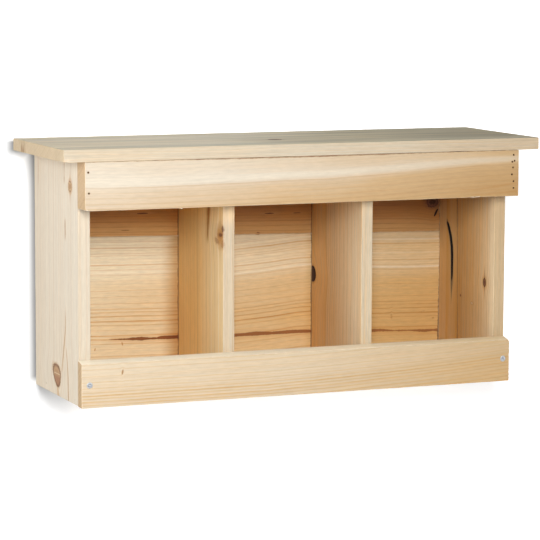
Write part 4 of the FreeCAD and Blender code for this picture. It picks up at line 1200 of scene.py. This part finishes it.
wood_bottom_rail = wood(
    "bottom_rail_wood",
    "XZY",
    -70.5,
    seed=79.0,
    spine=((-230.0, 0.0), (-120.0, 0.4), (-40.0, 1.2), (40.0, 3.4), (120.0, 7.4), (180.0, 11.0), (227.0, 14.5)),
    warp=1.2,
    warp_len=190.0,
    tremble=0.4,
    spacing=5.0,
    rings=0.16,
    slant=0.9,
    bands=((-16.0, 0.42), (-4.0, 0.42), (6.0, 0.34), (14.0, 0.38), (20.0, 0.22), (32.0, 0.26), (46.0, 0.2)),
    drift=((-230.0, -0.06), (0.0, 0.12), (227.0, 0.64)),
    lines=(
        (-12.0, 0.9, 0.7), (-8.4, 0.9, 0.7), (-4.6, 1.0, 0.66), (-1.0, 0.9, 0.6), (2.6, 0.9, 0.62), (5.8, 1.1, 0.74), (8.8, 0.9, 0.58), (11.6, 1.1, 0.74),
        (14.6, 0.8, 0.5), (18.8, 0.8, 0.44), (24.5, 0.7, 0.4), (30.0, 0.6, 0.3), (36.5, 0.6, 0.32), (41.0, 0.6, 0.3),
    ),
    line=(0.54, 0.305, 0.105),
    pale=(0.672, 0.562, 0.412),
    tan=(0.562, 0.389, 0.204),
    # painted light: the rail's top face is made lighter and cooler, as if lit more brightly
    weather=((1.38, 1.5, 1.62), (1.55, 1.73, 1.93)),
    wear=0.12,
    scrape=0.3,
    strand=0.4,
    knots=(dict(at=(-188.6, 33.4), size=(0.9, 2.0), lean=-0.5, core=(0.36, 0.19, 0.07), core_two=(0.28, 0.14, 0.05), rim=0.5, rim_colour=(0.30, 0.15, 0.055), glow=0.4, push=0.7, strong=0.85),),
    traces=(
        dict(path=((-192.5, 16.0, 0.2), (-190.6, 24.0, 0.45), (-189.6, 31.0, 0.3)), colour=(0.58, 0.38, 0.18), strong=0.55, shaky=0.3, soft=0.8, seed=3.0, fade=1.0),
    ),
)

# The brads are dark brown steel, darkened further as painted shade of the small holes they sit in.
brad_metal = metal("brad_metal", (0.14, 0.068, 0.034), (0.07, 0.034, 0.018), 0.66, 0.5, 4.0)
zinc_metal = metal("zinc_metal", (0.80, 0.81, 0.83), (0.66, 0.68, 0.71), 0.3, 0.16, 7.0)


# ---------------------------------------------------------------- building the boards

FRONT, LEFT, RIGHT, UP, DOWN, REAR = (0, -1, 0), (-1, 0, 0), (1, 0, 0), (0, 0, 1), (0, 0, -1), (0, 1, 0)


def brad_plugs(spots, axis, seed):
    return [
        prism(spot, axis, 0.97, 1.5, seed=seed + 0.37 * n, wild=0.22, mouth=1.1, stretch=(1.0, 1.0))
        for n, spot in enumerate(spots)
    ]


def lower_back(p):
    q = p.copy()
    q[:, 2] = p[:, 2] * np.array([between(x, back_seam) for x in p[:, 0]]) / 149.4
    return q


def upper_back(p):
    q = p.copy()
    tall = np.array([236.5 - between(x, back_seam) for x in p[:, 0]])
    q[:, 2] = 236.5 - (236.5 - p[:, 2]) * tall / (236.5 - 139.7)
    return q


def front_right(p):
    q = p.copy()
    wide = np.array([between(z, side_seam) + 58.5 for z in p[:, 2]])
    q[:, 1] = -58.5 + (p[:, 1] + 58.5) * wide / (29.1 + 58.5)
    return q


def rear_right(p):
    q = p.copy()
    wide = np.array([82.5 - between(z, side_seam) for z in p[:, 2]])
    q[:, 1] = 82.5 - (82.5 - p[:, 1]) * wide / (82.5 - 22.5)
    return q


def rail_corner(p):
    q = p.copy()
    dx = p[:, 0] - (226.8 - 2.8)
    dz = p[:, 2] - (45.0 - 2.8)
    for n in np.nonzero((dx > 0) & (dz > 0))[0]:
        far = math.hypot(dx[n], dz[n])
        if far > 1e-6:
            scale = max(dx[n], dz[n]) / far
            q[n, 0] = 224.0 + dx[n] * scale
            q[n, 2] = 42.2 + dz[n] * scale
    # the top front edge is rounded over
    over = np.clip((-58.9 - p[:, 1]) / 11.6, 0.0, 1.0) ** 1.6 * np.clip((p[:, 2] - 34.0) / 11.0, 0.0, 1.0)
    q[:, 2] -= 2.4 * over
    # the right end is sawn rough
    for n in np.nonzero(q[:, 0] > 221.0)[0]:
        bite = 0.5 + 0.5 * noise.noise(Vector((q[n, 1] * 0.1, q[n, 2] * 0.5, 3.0))) + 0.35 * noise.noise(Vector((q[n, 1] * 0.2, q[n, 2] * 1.4, 8.0)))
        q[n, 0] -= max(0.0, bite) * 1.05 * (q[n, 0] - 221.0) / 5.8
    return q


roof_front = board(
    "roof_front_board", wood_roof_front, 1.0, step=4.5, ease=0.6,
    dents=(
        dict(at=(-250.0, -82.5, 236.5), way=(1, 1, 0.8), reach=(5.0, 5.0, 5.0), depth=2.2),
        dict(at=(-250.0, -70.0, 236.5), way=(0.6, 0, 1), reach=(3.0, 9.0, 3.0), depth=0.9),
        dict(at=(12.0, -82.5, 248.5), way=(0, 1, -0.6), reach=(7.0, 2.5, 2.5), depth=0.5),
        dict(at=(161.0, -82.5, 236.5), way=(0, 1, 0.8), reach=(12.0, 2.5, 2.5), depth=0.5),
    ),
    extra=((-249.0, -248.0, -247.0, -246.0), (-81.5, -80.5, -79.5, -78.0), ()),
)
cut(roof_front, brad_plugs(((-222.0, -36.0, 248.5), (-220.5, 1.3, 248.5), (-222.8, 44.0, 248.5), (219.0, -38.0, 248.5), (220.2, 2.0, 248.5), (222.0, 41.6, 248.5), (-75.17, -34.0, 248.5), (-75.17, 31.0, 248.5), (72.17, -31.0, 248.5), (72.17, 36.0, 248.5)), UP, 1.0))
finish(roof_front, "roof_front_board", "carcass")

roof_rear = board("roof_rear_strip", wood_roof_rear, 2.0, step=4.5, ease=0.45, rough_edge=0.15, sway=0.05)
finish(roof_rear, "roof_rear_strip", "carcass")

back_lower = board("back_lower_board", wood_back_lower, 3.0, step=5.0, ease=0.4, shape=lower_back)
cut(back_lower, brad_plugs(((-75.17, 79.5, 62.0), (72.17, 79.5, 58.0), (-152.0, 79.5, 6.0), (-4.0, 79.5, 5.2), (149.0, 79.5, 6.6)), REAR, 3.0))
finish(back_lower, "back_lower_board", "carcass")

back_upper = board("back_upper_board", wood_back_upper, 4.0, step=5.0, ease=0.4, shape=upper_back)
cut(
    back_upper,
    brad_plugs(((-75.17, 79.5, 188.0), (72.17, 79.5, 192.0)), REAR, 4.0)
    + [prism((x, 79.5, 206.0), REAR, 6.5, 6.0, sides=28, seed=x * 0.01, wild=0.03) for x in (-150.0, 150.0)],
)
finish(back_upper, "back_upper_board", "carcass")

left_side = board("left_side_board", wood_left_side, 5.0, step=4.0, ease=0.6)
cut(left_side, brad_plugs(((-228.5, -45.3, 4.3), (-228.5, 48.0, 6.4)), LEFT, 5.0) + [prism((-221.6, -58.5, 22.2), FRONT, 1.6, 16.6, sides=20, seed=5.0, wild=0.08)])
finish(left_side, "left_side_board", "carcass")

right_front = board("right_side_front_board", wood_right_front, 6.0, step=4.0, ease=0.55, shape=front_right)
cut(right_front, brad_plugs(((225.5, -43.0, 5.6),), RIGHT, 6.0) + [prism((219.1, -58.5, 23.3), FRONT, 1.6, 16.6, sides=20, seed=6.0, wild=0.08)])
finish(right_front, "right_side_front_board", "carcass")

right_rear = board("right_side_rear_strip", wood_right_rear, 7.0, step=4.0, ease=0.5, shape=rear_right)
cut(
    right_rear,
    brad_plugs(((225.5, 49.0, 6.2),), RIGHT, 7.0)
    + [
        sliver(
            [
                ((213.5, 38.0, 90.0), 0.3), ((213.5, 37.8, 93.6), 1.0), ((213.5, 37.6, 99.5), 1.7), ((213.5, 37.7, 107.3), 2.1), ((213.5, 37.8, 117.1), 2.3),
                ((213.5, 38.7, 126.7), 2.4), ((213.5, 41.9, 138.1), 2.4), ((213.5, 46.0, 146.0), 2.2), ((213.5, 48.8, 150.2), 1.6), ((213.5, 50.4, 152.6), 0.4),
            ],
            LEFT,
            3.2,
        )
    ],
)
finish(right_rear, "right_side_rear_strip", "carcass")

left_divider = board("left_divider", wood_left_divider, 8.0, step=4.0, ease=0.5)
finish(left_divider, "left_divider", "carcass")

right_divider = board("right_divider", wood_right_divider, 9.0, step=4.0, ease=0.5)
cut(right_divider, [prism((66.17, 65.0, 101.2), LEFT, 8.3, 9.0, sides=36, seed=2.0, wild=0.08, mouth=1.03)])
finish(right_divider, "right_divider", "carcass")

floor_board = board("floor_board", wood_floor, 10.0, step=6.0, ease=0.5)
cut(floor_board, brad_plugs(((-75.17, -32.0, 0.0), (-75.17, 36.0, 0.0), (72.17, -35.0, 0.0), (72.17, 33.0, 0.0)), DOWN, 8.0))
finish(floor_board, "floor_board", "carcass")

top_rail = board(
    "top_front_rail", wood_top_rail, 11.0, step=4.0, ease=0.7,
    dents=(
        dict(at=(-229.2, -82.5, 190.0), way=(1, 0.7, 0.7), reach=(5.0, 6.0, 4.0), depth=1.3),
        dict(at=(-229.2, -70.0, 190.0), way=(0.4, 0, 1), reach=(3.0, 14.0, 5.0), depth=1.2),
        dict(at=(180.7, -82.5, 190.0), way=(0, 1, 1), reach=(9.0, 2.6, 2.6), depth=0.9),
        dict(at=(196.0, -82.5, 190.0), way=(0, 1, 1), reach=(6.0, 2.0, 2.0), depth=0.5),
        dict(at=(40.0, -82.5, 190.0), way=(0, 1, 1), reach=(14.0, 2.0, 2.0), depth=0.35),
    ),
    extra=((-228.0, -227.0, -226.0, 174.0, 177.0, 179.0, 181.0, 183.0, 186.0), (-81.0, -80.0, -79.0), (191.5, 192.5, 193.5)),
)
cut(
    top_rail,
    brad_plugs(
        (
            (-225.9, -82.5, 226.7), (-225.3, -82.5, 207.0), (221.9, -82.5, 231.6), (220.4, -82.5, 224.7), (223.0, -82.5, 225.6),
            (221.3, -82.5, 219.0), (220.1, -82.5, 212.0), (222.0, -82.5, 205.1), (222.1, -82.5, 198.3),
        ),
        FRONT,
        11.0,
    ),
)
fray(
    top_rail,
    (
        ((-134.2, -81.8, 190.5), (0.75, -0.05, -0.75), (0.5, 0.0, 0.2), 2.6, 0.5, 0.3),
        ((-132.4, -81.9, 190.4), (-0.3, -0.05, -1.0), (0.4, 0.0, 0.0), 1.6, 0.45, 0.25),
        ((184.5, -81.9, 190.8), (-1.0, -0.01, -0.06), (0.0, -0.01, -0.1), 10.0, 0.5, 0.22),
        ((178.0, -81.9, 190.6), (-1.0, -0.01, 0.05), (0.0, 0.0, -0.12), 6.0, 0.42, 0.2),
        ((-227.9, -81.7, 191.6), (0.5, -0.06, -0.6), (0.3, 0.0, 0.5), 4.0, 0.6, 0.25),
        ((-228.4, -77.6, 191.0), (-0.1, -1.0, -0.35), (0.0, 0.0, 0.3), 4.6, 0.5, 0.25),
    ),
)
finish(top_rail, "top_front_rail", "carcass")

bottom_rail = board(
    "bottom_front_rail", wood_bottom_rail, 12.0, step=4.0, ease=0.9, shape=rail_corner,
    extra=((221.0, 222.0, 223.0, 224.0, 225.0), (-69.4, -68.2, -66.8, -65.4, -64.0, -62.6, -61.2, -60.0), (39.0, 40.0, 41.0, 42.0, 43.0) + tuple(np.arange(2.0, 39.0, 1.5))),
)
SCREWS = {"left": (-221.6, 22.2), "right": (219.1, 23.3)}
cut(bottom_rail, [sink((x, -70.5, z)) for x, z in SCREWS.values()])
finish(bottom_rail, "bottom_front_rail", "lower_rail")


# ---------------------------------------------------------------- screws


def rail_screw(name, node, body, x, z, turn):
    """A countersunk wood screw with a cross recess and a rolled thread."""
    face, length, sides = -70.4, 28.0, 40
    profile = [(0.05, 0.0), (0.02, 1.6), (0.0, 2.3), (0.02, 2.72), (0.09, 2.92), (0.2, 3.0), (0.36, 2.98), (0.5, 2.86), (1.95, 1.46), (2.4, 1.32), (4.0, 1.3)]
    verts, faces = [], []
    rows = []
    for depth, radius in profile[1:]:
        rows.append((depth, radius, 0.0))
    depth = 4.0
    while depth < length - 0.2:
        depth += 0.22
        taper = min(1.0, max(0.0, (length - depth) / 4.0))
        start = min(1.0, (depth - 4.0) / 2.0)
        root = 1.3 - 0.28 * start
        rows.append((depth, root * (0.18 + 0.82 * taper), 0.46 * start * (0.12 + 0.88 * taper)))
    verts.append(Vector((x, face + profile[0][0], z)))
    for depth, radius, crest in rows:
        for n in range(sides):
            a = 2.0 * math.pi * n / sides
            wave = ((depth / 1.35 - a / (2.0 * math.pi)) % 1.0) * 2.0 - 1.0
            ridge = max(0.0, 1.0 - abs(wave) * 2.1)
            far = min(radius + crest * ridge, 1.5) if crest else radius
            verts.append(Vector((x + math.cos(a) * far, face + depth, z + math.sin(a) * far)))
    for n in range(sides):
        faces.append((0, 1 + (n + 1) % sides, 1 + n))
    for m in range(len(rows) - 1):
        for n in range(sides):
            a, b = 1 + m * sides + n, 1 + m * sides + (n + 1) % sides
            faces.append((a, b, b + sides, a + sides))
    verts.append(Vector((x, face + length, z)))
    last = 1 + (len(rows) - 1) * sides
    for n in range(sides):
        faces.append((last + n, last + (n + 1) % sides, len(verts) - 1))
    mesh = bpy.data.meshes.new(name)
    mesh.from_pydata([tuple(q * MM) for q in verts], [], faces)
    mesh.materials.append(zinc_metal)
    work = bmesh.new()
    work.from_mesh(mesh)
    bmesh.ops.recalc_face_normals(work, faces=work.faces)
    work.to_mesh(mesh)
    work.free()
    piece = bpy.data.objects.new(name, mesh)
    scene.collection.objects.link(piece)
    # the recess narrows as it goes in
    long, wide = 1.75, 0.42
    outline = ((long, wide), (wide, wide), (wide, long), (-wide, long), (-wide, wide), (-long, wide), (-long, -wide), (-wide, -wide), (-wide, -long), (wide, -long), (wide, -wide), (long, -wide))
    pv, pf = [], []
    for depth, scale in ((-0.4, 1.0), (0.15, 1.0), (1.3, 0.5)):
        for a, b in outline:
            ca, sa = math.cos(turn), math.sin(turn)
            pv.append(Vector((x + (a * ca - b * sa) * scale, face + depth, z + (a * sa + b * ca) * scale)))
    count = len(outline)
    for m in range(2):
        for n in range(count):
            a, b = m * count + n, m * count + (n + 1) % count
            pf.append((a, b, b + count, a + count))
    pf.append(tuple(reversed(range(count))))
    pf.append(tuple(range(2 * count, 3 * count)))
    cut(piece, [(pv, pf)])
    finish(piece, node, body, 30.0)
    return piece


rail_screw("screw_left_zinc", "bottom_rail_screw_left", "screw_left", -221.6, 22.2, 0.55)
rail_screw("screw_right_zinc", "bottom_rail_screw_right", "screw_right", 219.1, 23.3, 0.2)


# ---------------------------------------------------------------- metal nodes that stay as they are

for node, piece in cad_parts.items():
    if "brads" in node:
        piece.data.materials.clear()
        piece.data.materials.append(brad_metal)
    elif "hanger" in node:
        piece.data.materials.clear()
        piece.data.materials.append(zinc_metal)


# ---------------------------------------------------------------- stage, light and camera


def near_wall(t, place):
    """Painted shade on the stage wall: how much darker it is close to the box, along its outline and under its left foot."""
    split = t.node("ShaderNodeSeparateXYZ")
    t.put(split.inputs[0], place)
    x, z = t.mul(split.outputs[0], 1000.0), t.mul(split.outputs[2], 1000.0)
    shade = None
    for low, high, foot, head in ((-228.5, 225.5, 9.0, 236.0), (-250.0, 250.0, 238.0, 245.0)):
        dx = t.math("MAXIMUM", t.math("MAXIMUM", t.sub(low, x), t.sub(x, high)), 0.0)
        dz = t.math("MAXIMUM", t.math("MAXIMUM", t.sub(foot, z), t.sub(z, head)), 0.0)
        far = t.math("SQRT", t.add(t.mul(dx, dx), t.mul(dz, dz)))
        one = t.curve(far, ((0.0, 0.82), (1.8, 0.76), (3.0, 0.68), (4.2, 0.61), (6.6, 0.48), (9.0, 0.37), (12.6, 0.29), (16.0, 0.2), (24.0, 0.0)))
        shade = one if shade is None else t.math("MAXIMUM", shade, one)
    shade = t.mul(shade, t.span(z, 244.0, 249.5, 1.0, 0.0))
    below = t.mul(t.span(z, -50.0, 0.0, 0.0, 0.68, kind="LINEAR"), t.mul(t.span(x, -240.0, -222.0), t.span(x, -202.0, -162.0, 1.0, 0.0)))
    below = t.mul(below, t.span(z, 30.0, 60.0, 1.0, 0.0))
    return t.math("MAXIMUM", shade, below)


def stage_material(name, tint, one_sided, glow, shading=None):
    t = Nodes(name)
    coords = t.node("ShaderNodeTexCoord")
    cloud = t.noise(coords.outputs["Object"], detail=3.0, scale=3.0)
    grain = t.noise(coords.outputs["Object"], detail=2.0, scale=900.0)
    colour = t.mix(t.span(cloud, 0.3, 0.7), tint, tuple(0.985 * c for c in tint))
    bump = t.node("ShaderNodeBump")
    bump.inputs["Strength"].default_value = 0.05
    bump.inputs["Distance"].default_value = 0.0002
    t.put(bump.inputs["Height"], grain)
    shader = t.node("ShaderNodeBsdfPrincipled")
    t.put(shader.inputs["Base Color"], colour)
    shader.inputs["Roughness"].default_value = 0.9
    shader.inputs["Specular IOR Level"].default_value = 0.1
    shader.inputs["Emission Color"].default_value = (1.0, 1.0, 1.0, 1.0)
    shader.inputs["Emission Strength"].default_value = glow
    if shading:
        dark = shading(t, coords.outputs["Object"])
        colour = t.mix(dark, colour, (0.0, 0.0, 0.0))
        t.put(shader.inputs["Base Color"], colour)
        t.put(shader.inputs["Emission Color"], t.mix(dark, (1.0, 1.0, 1.0), (0.0, 0.0, 0.0)))
    t.put(shader.inputs["Normal"], bump.outputs[0])
    out = t.node("ShaderNodeOutputMaterial")
    if one_sided:
        behind = t.node("ShaderNodeNewGeometry")
        clear = t.node("ShaderNodeBsdfTransparent")
        either = t.node("ShaderNodeMixShader")
        t.put(either.inputs[0], behind.outputs["Backfacing"])
        t.put(either.inputs[1], shader.outputs[0])
        t.put(either.inputs[2], clear.outputs[0])
        t.put(out.inputs["Surface"], either.outputs[0])
    else:
        t.put(out.inputs["Surface"], shader.outputs[0])
    return t.mat


def panel(name, corners, material):
    mesh = bpy.data.meshes.new(name)
    mesh.from_pydata(corners, [], [(0, 1, 2, 3)])
    mesh.materials.append(material)
    made = bpy.data.objects.new(name, mesh)
    scene.collection.objects.link(made)
    return made


wall = panel(
    "wall",
    [(-1.6, 0.0832, -0.45), (1.6, 0.0832, -0.45), (1.6, 0.0832, 1.6), (-1.6, 0.0832, 1.6)],
    stage_material("wall_paint", (0.93, 0.93, 0.93), True, 0.55, near_wall),
)
wall.visible_diffuse = False
wall.visible_glossy = False
wall.visible_shadow = False
floor = panel(
    "floor",
    [(-4.0, -4.5, -0.45), (4.0, -4.5, -0.45), (4.0, 4.5, -0.45), (-4.0, 4.5, -0.45)],
    stage_material("floor_paint", (0.86, 0.855, 0.845), True, 0.0),
)
floor.visible_camera = False
pale_floor = panel(
    "pale_floor",
    [(-6.0, -6.0, -0.452), (6.0, -6.0, -0.452), (6.0, 6.0, -0.452), (-6.0, 6.0, -0.452)],
    stage_material("pale_floor_paint", (0.5, 0.5, 0.5), True, 0.93),
)
pale_floor.visible_diffuse = False
pale_floor.visible_glossy = False
pale_floor.visible_shadow = False


def lamp(name, at, towards, size, power, tint=(1.0, 1.0, 1.0)):
    data = bpy.data.lights.new(name, "AREA")
    data.shape = "RECTANGLE"
    data.size, data.size_y = size
    data.energy = power
    data.color = tint
    made = bpy.data.objects.new(name, data)
    made.location = at
    made.rotation_euler = (Vector(towards) - Vector(at)).to_track_quat("-Z", "Y").to_euler()
    made.visible_camera = False
    scene.collection.objects.link(made)
    return made


lamp("key", (-0.60, -1.75, 0.68), (0.0, 0.0, 0.12), (0.36, 0.56), 29.8)
lamp("fill", (-1.25, -0.34, 0.42), (-0.05, 0.0, 0.12), (0.8, 0.7), 10.1, (0.93, 1.0, 1.1))
lamp("top", (0.0, 0.12, 0.87), (0.0, 0.12, 0.0), (0.4, 0.4), 0.78, (0.95, 1.0, 1.06))
lamp("right_rear", (1.5, 0.9, 0.33), (0.22, 0.0, 0.12), (1.0, 0.8), 14.0)
lamp("rear", (0.1, 1.9, 0.33), (0.0, 0.08, 0.12), (1.3, 0.9), 17.0)
card = lamp("card", (1.0, -2.3, 0.45), (0.0, 0.0, 0.12), (1.2, 1.4), 9.0)
card.visible_diffuse = False

world = bpy.data.worlds.new("studio")
world.use_nodes = True
sky = world.node_tree
sky.nodes["Background"].inputs["Color"].default_value = (1.0, 1.0, 1.0, 1.0)
sky.nodes["Background"].inputs["Strength"].default_value = 0.15
bright = sky.nodes.new("ShaderNodeBackground")
bright.inputs["Color"].default_value = (1.0, 1.0, 1.0, 1.0)
bright.inputs["Strength"].default_value = 1.0
path = sky.nodes.new("ShaderNodeLightPath")
both = sky.nodes.new("ShaderNodeMixShader")
sky.links.new(path.outputs["Is Camera Ray"], both.inputs[0])
sky.links.new(sky.nodes["Background"].outputs[0], both.inputs[1])
sky.links.new(bright.outputs[0], both.inputs[2])
sky.links.new(both.outputs[0], sky.nodes["World Output"].inputs["Surface"])
scene.world = world
scene.view_settings.view_transform = "Standard"

az, el, roll = (math.radians(a) for a in (22.132, 7.028, 0.186))
look = Vector((math.sin(az) * math.cos(el), math.cos(az) * math.cos(el), -math.sin(el)))
right = Vector((math.cos(az), -math.sin(az), 0.0))
up = right.cross(look)
right, up = right * math.cos(roll) + up * math.sin(roll), up * math.cos(roll) - right * math.sin(roll)
eye = bpy.data.cameras.new("eye")
eye.sensor_width = 36.0
eye.sensor_fit = "HORIZONTAL"
eye.lens = 36.0 * 2574.2 / 540.0
eye.clip_start, eye.clip_end = 0.05, 30.0
camera = bpy.data.objects.new("eye", eye)
camera.matrix_world = Matrix(
    (
        (right.x, up.x, -look.x, -0.9745),
        (right.y, up.y, -look.y, -2.3762),
        (right.z, up.z, -look.z, 0.4320),
        (0.0, 0.0, 0.0, 1.0),
    )
)
scene.collection.objects.link(camera)
scene.camera = camera

bpy.context.view_layer.update()
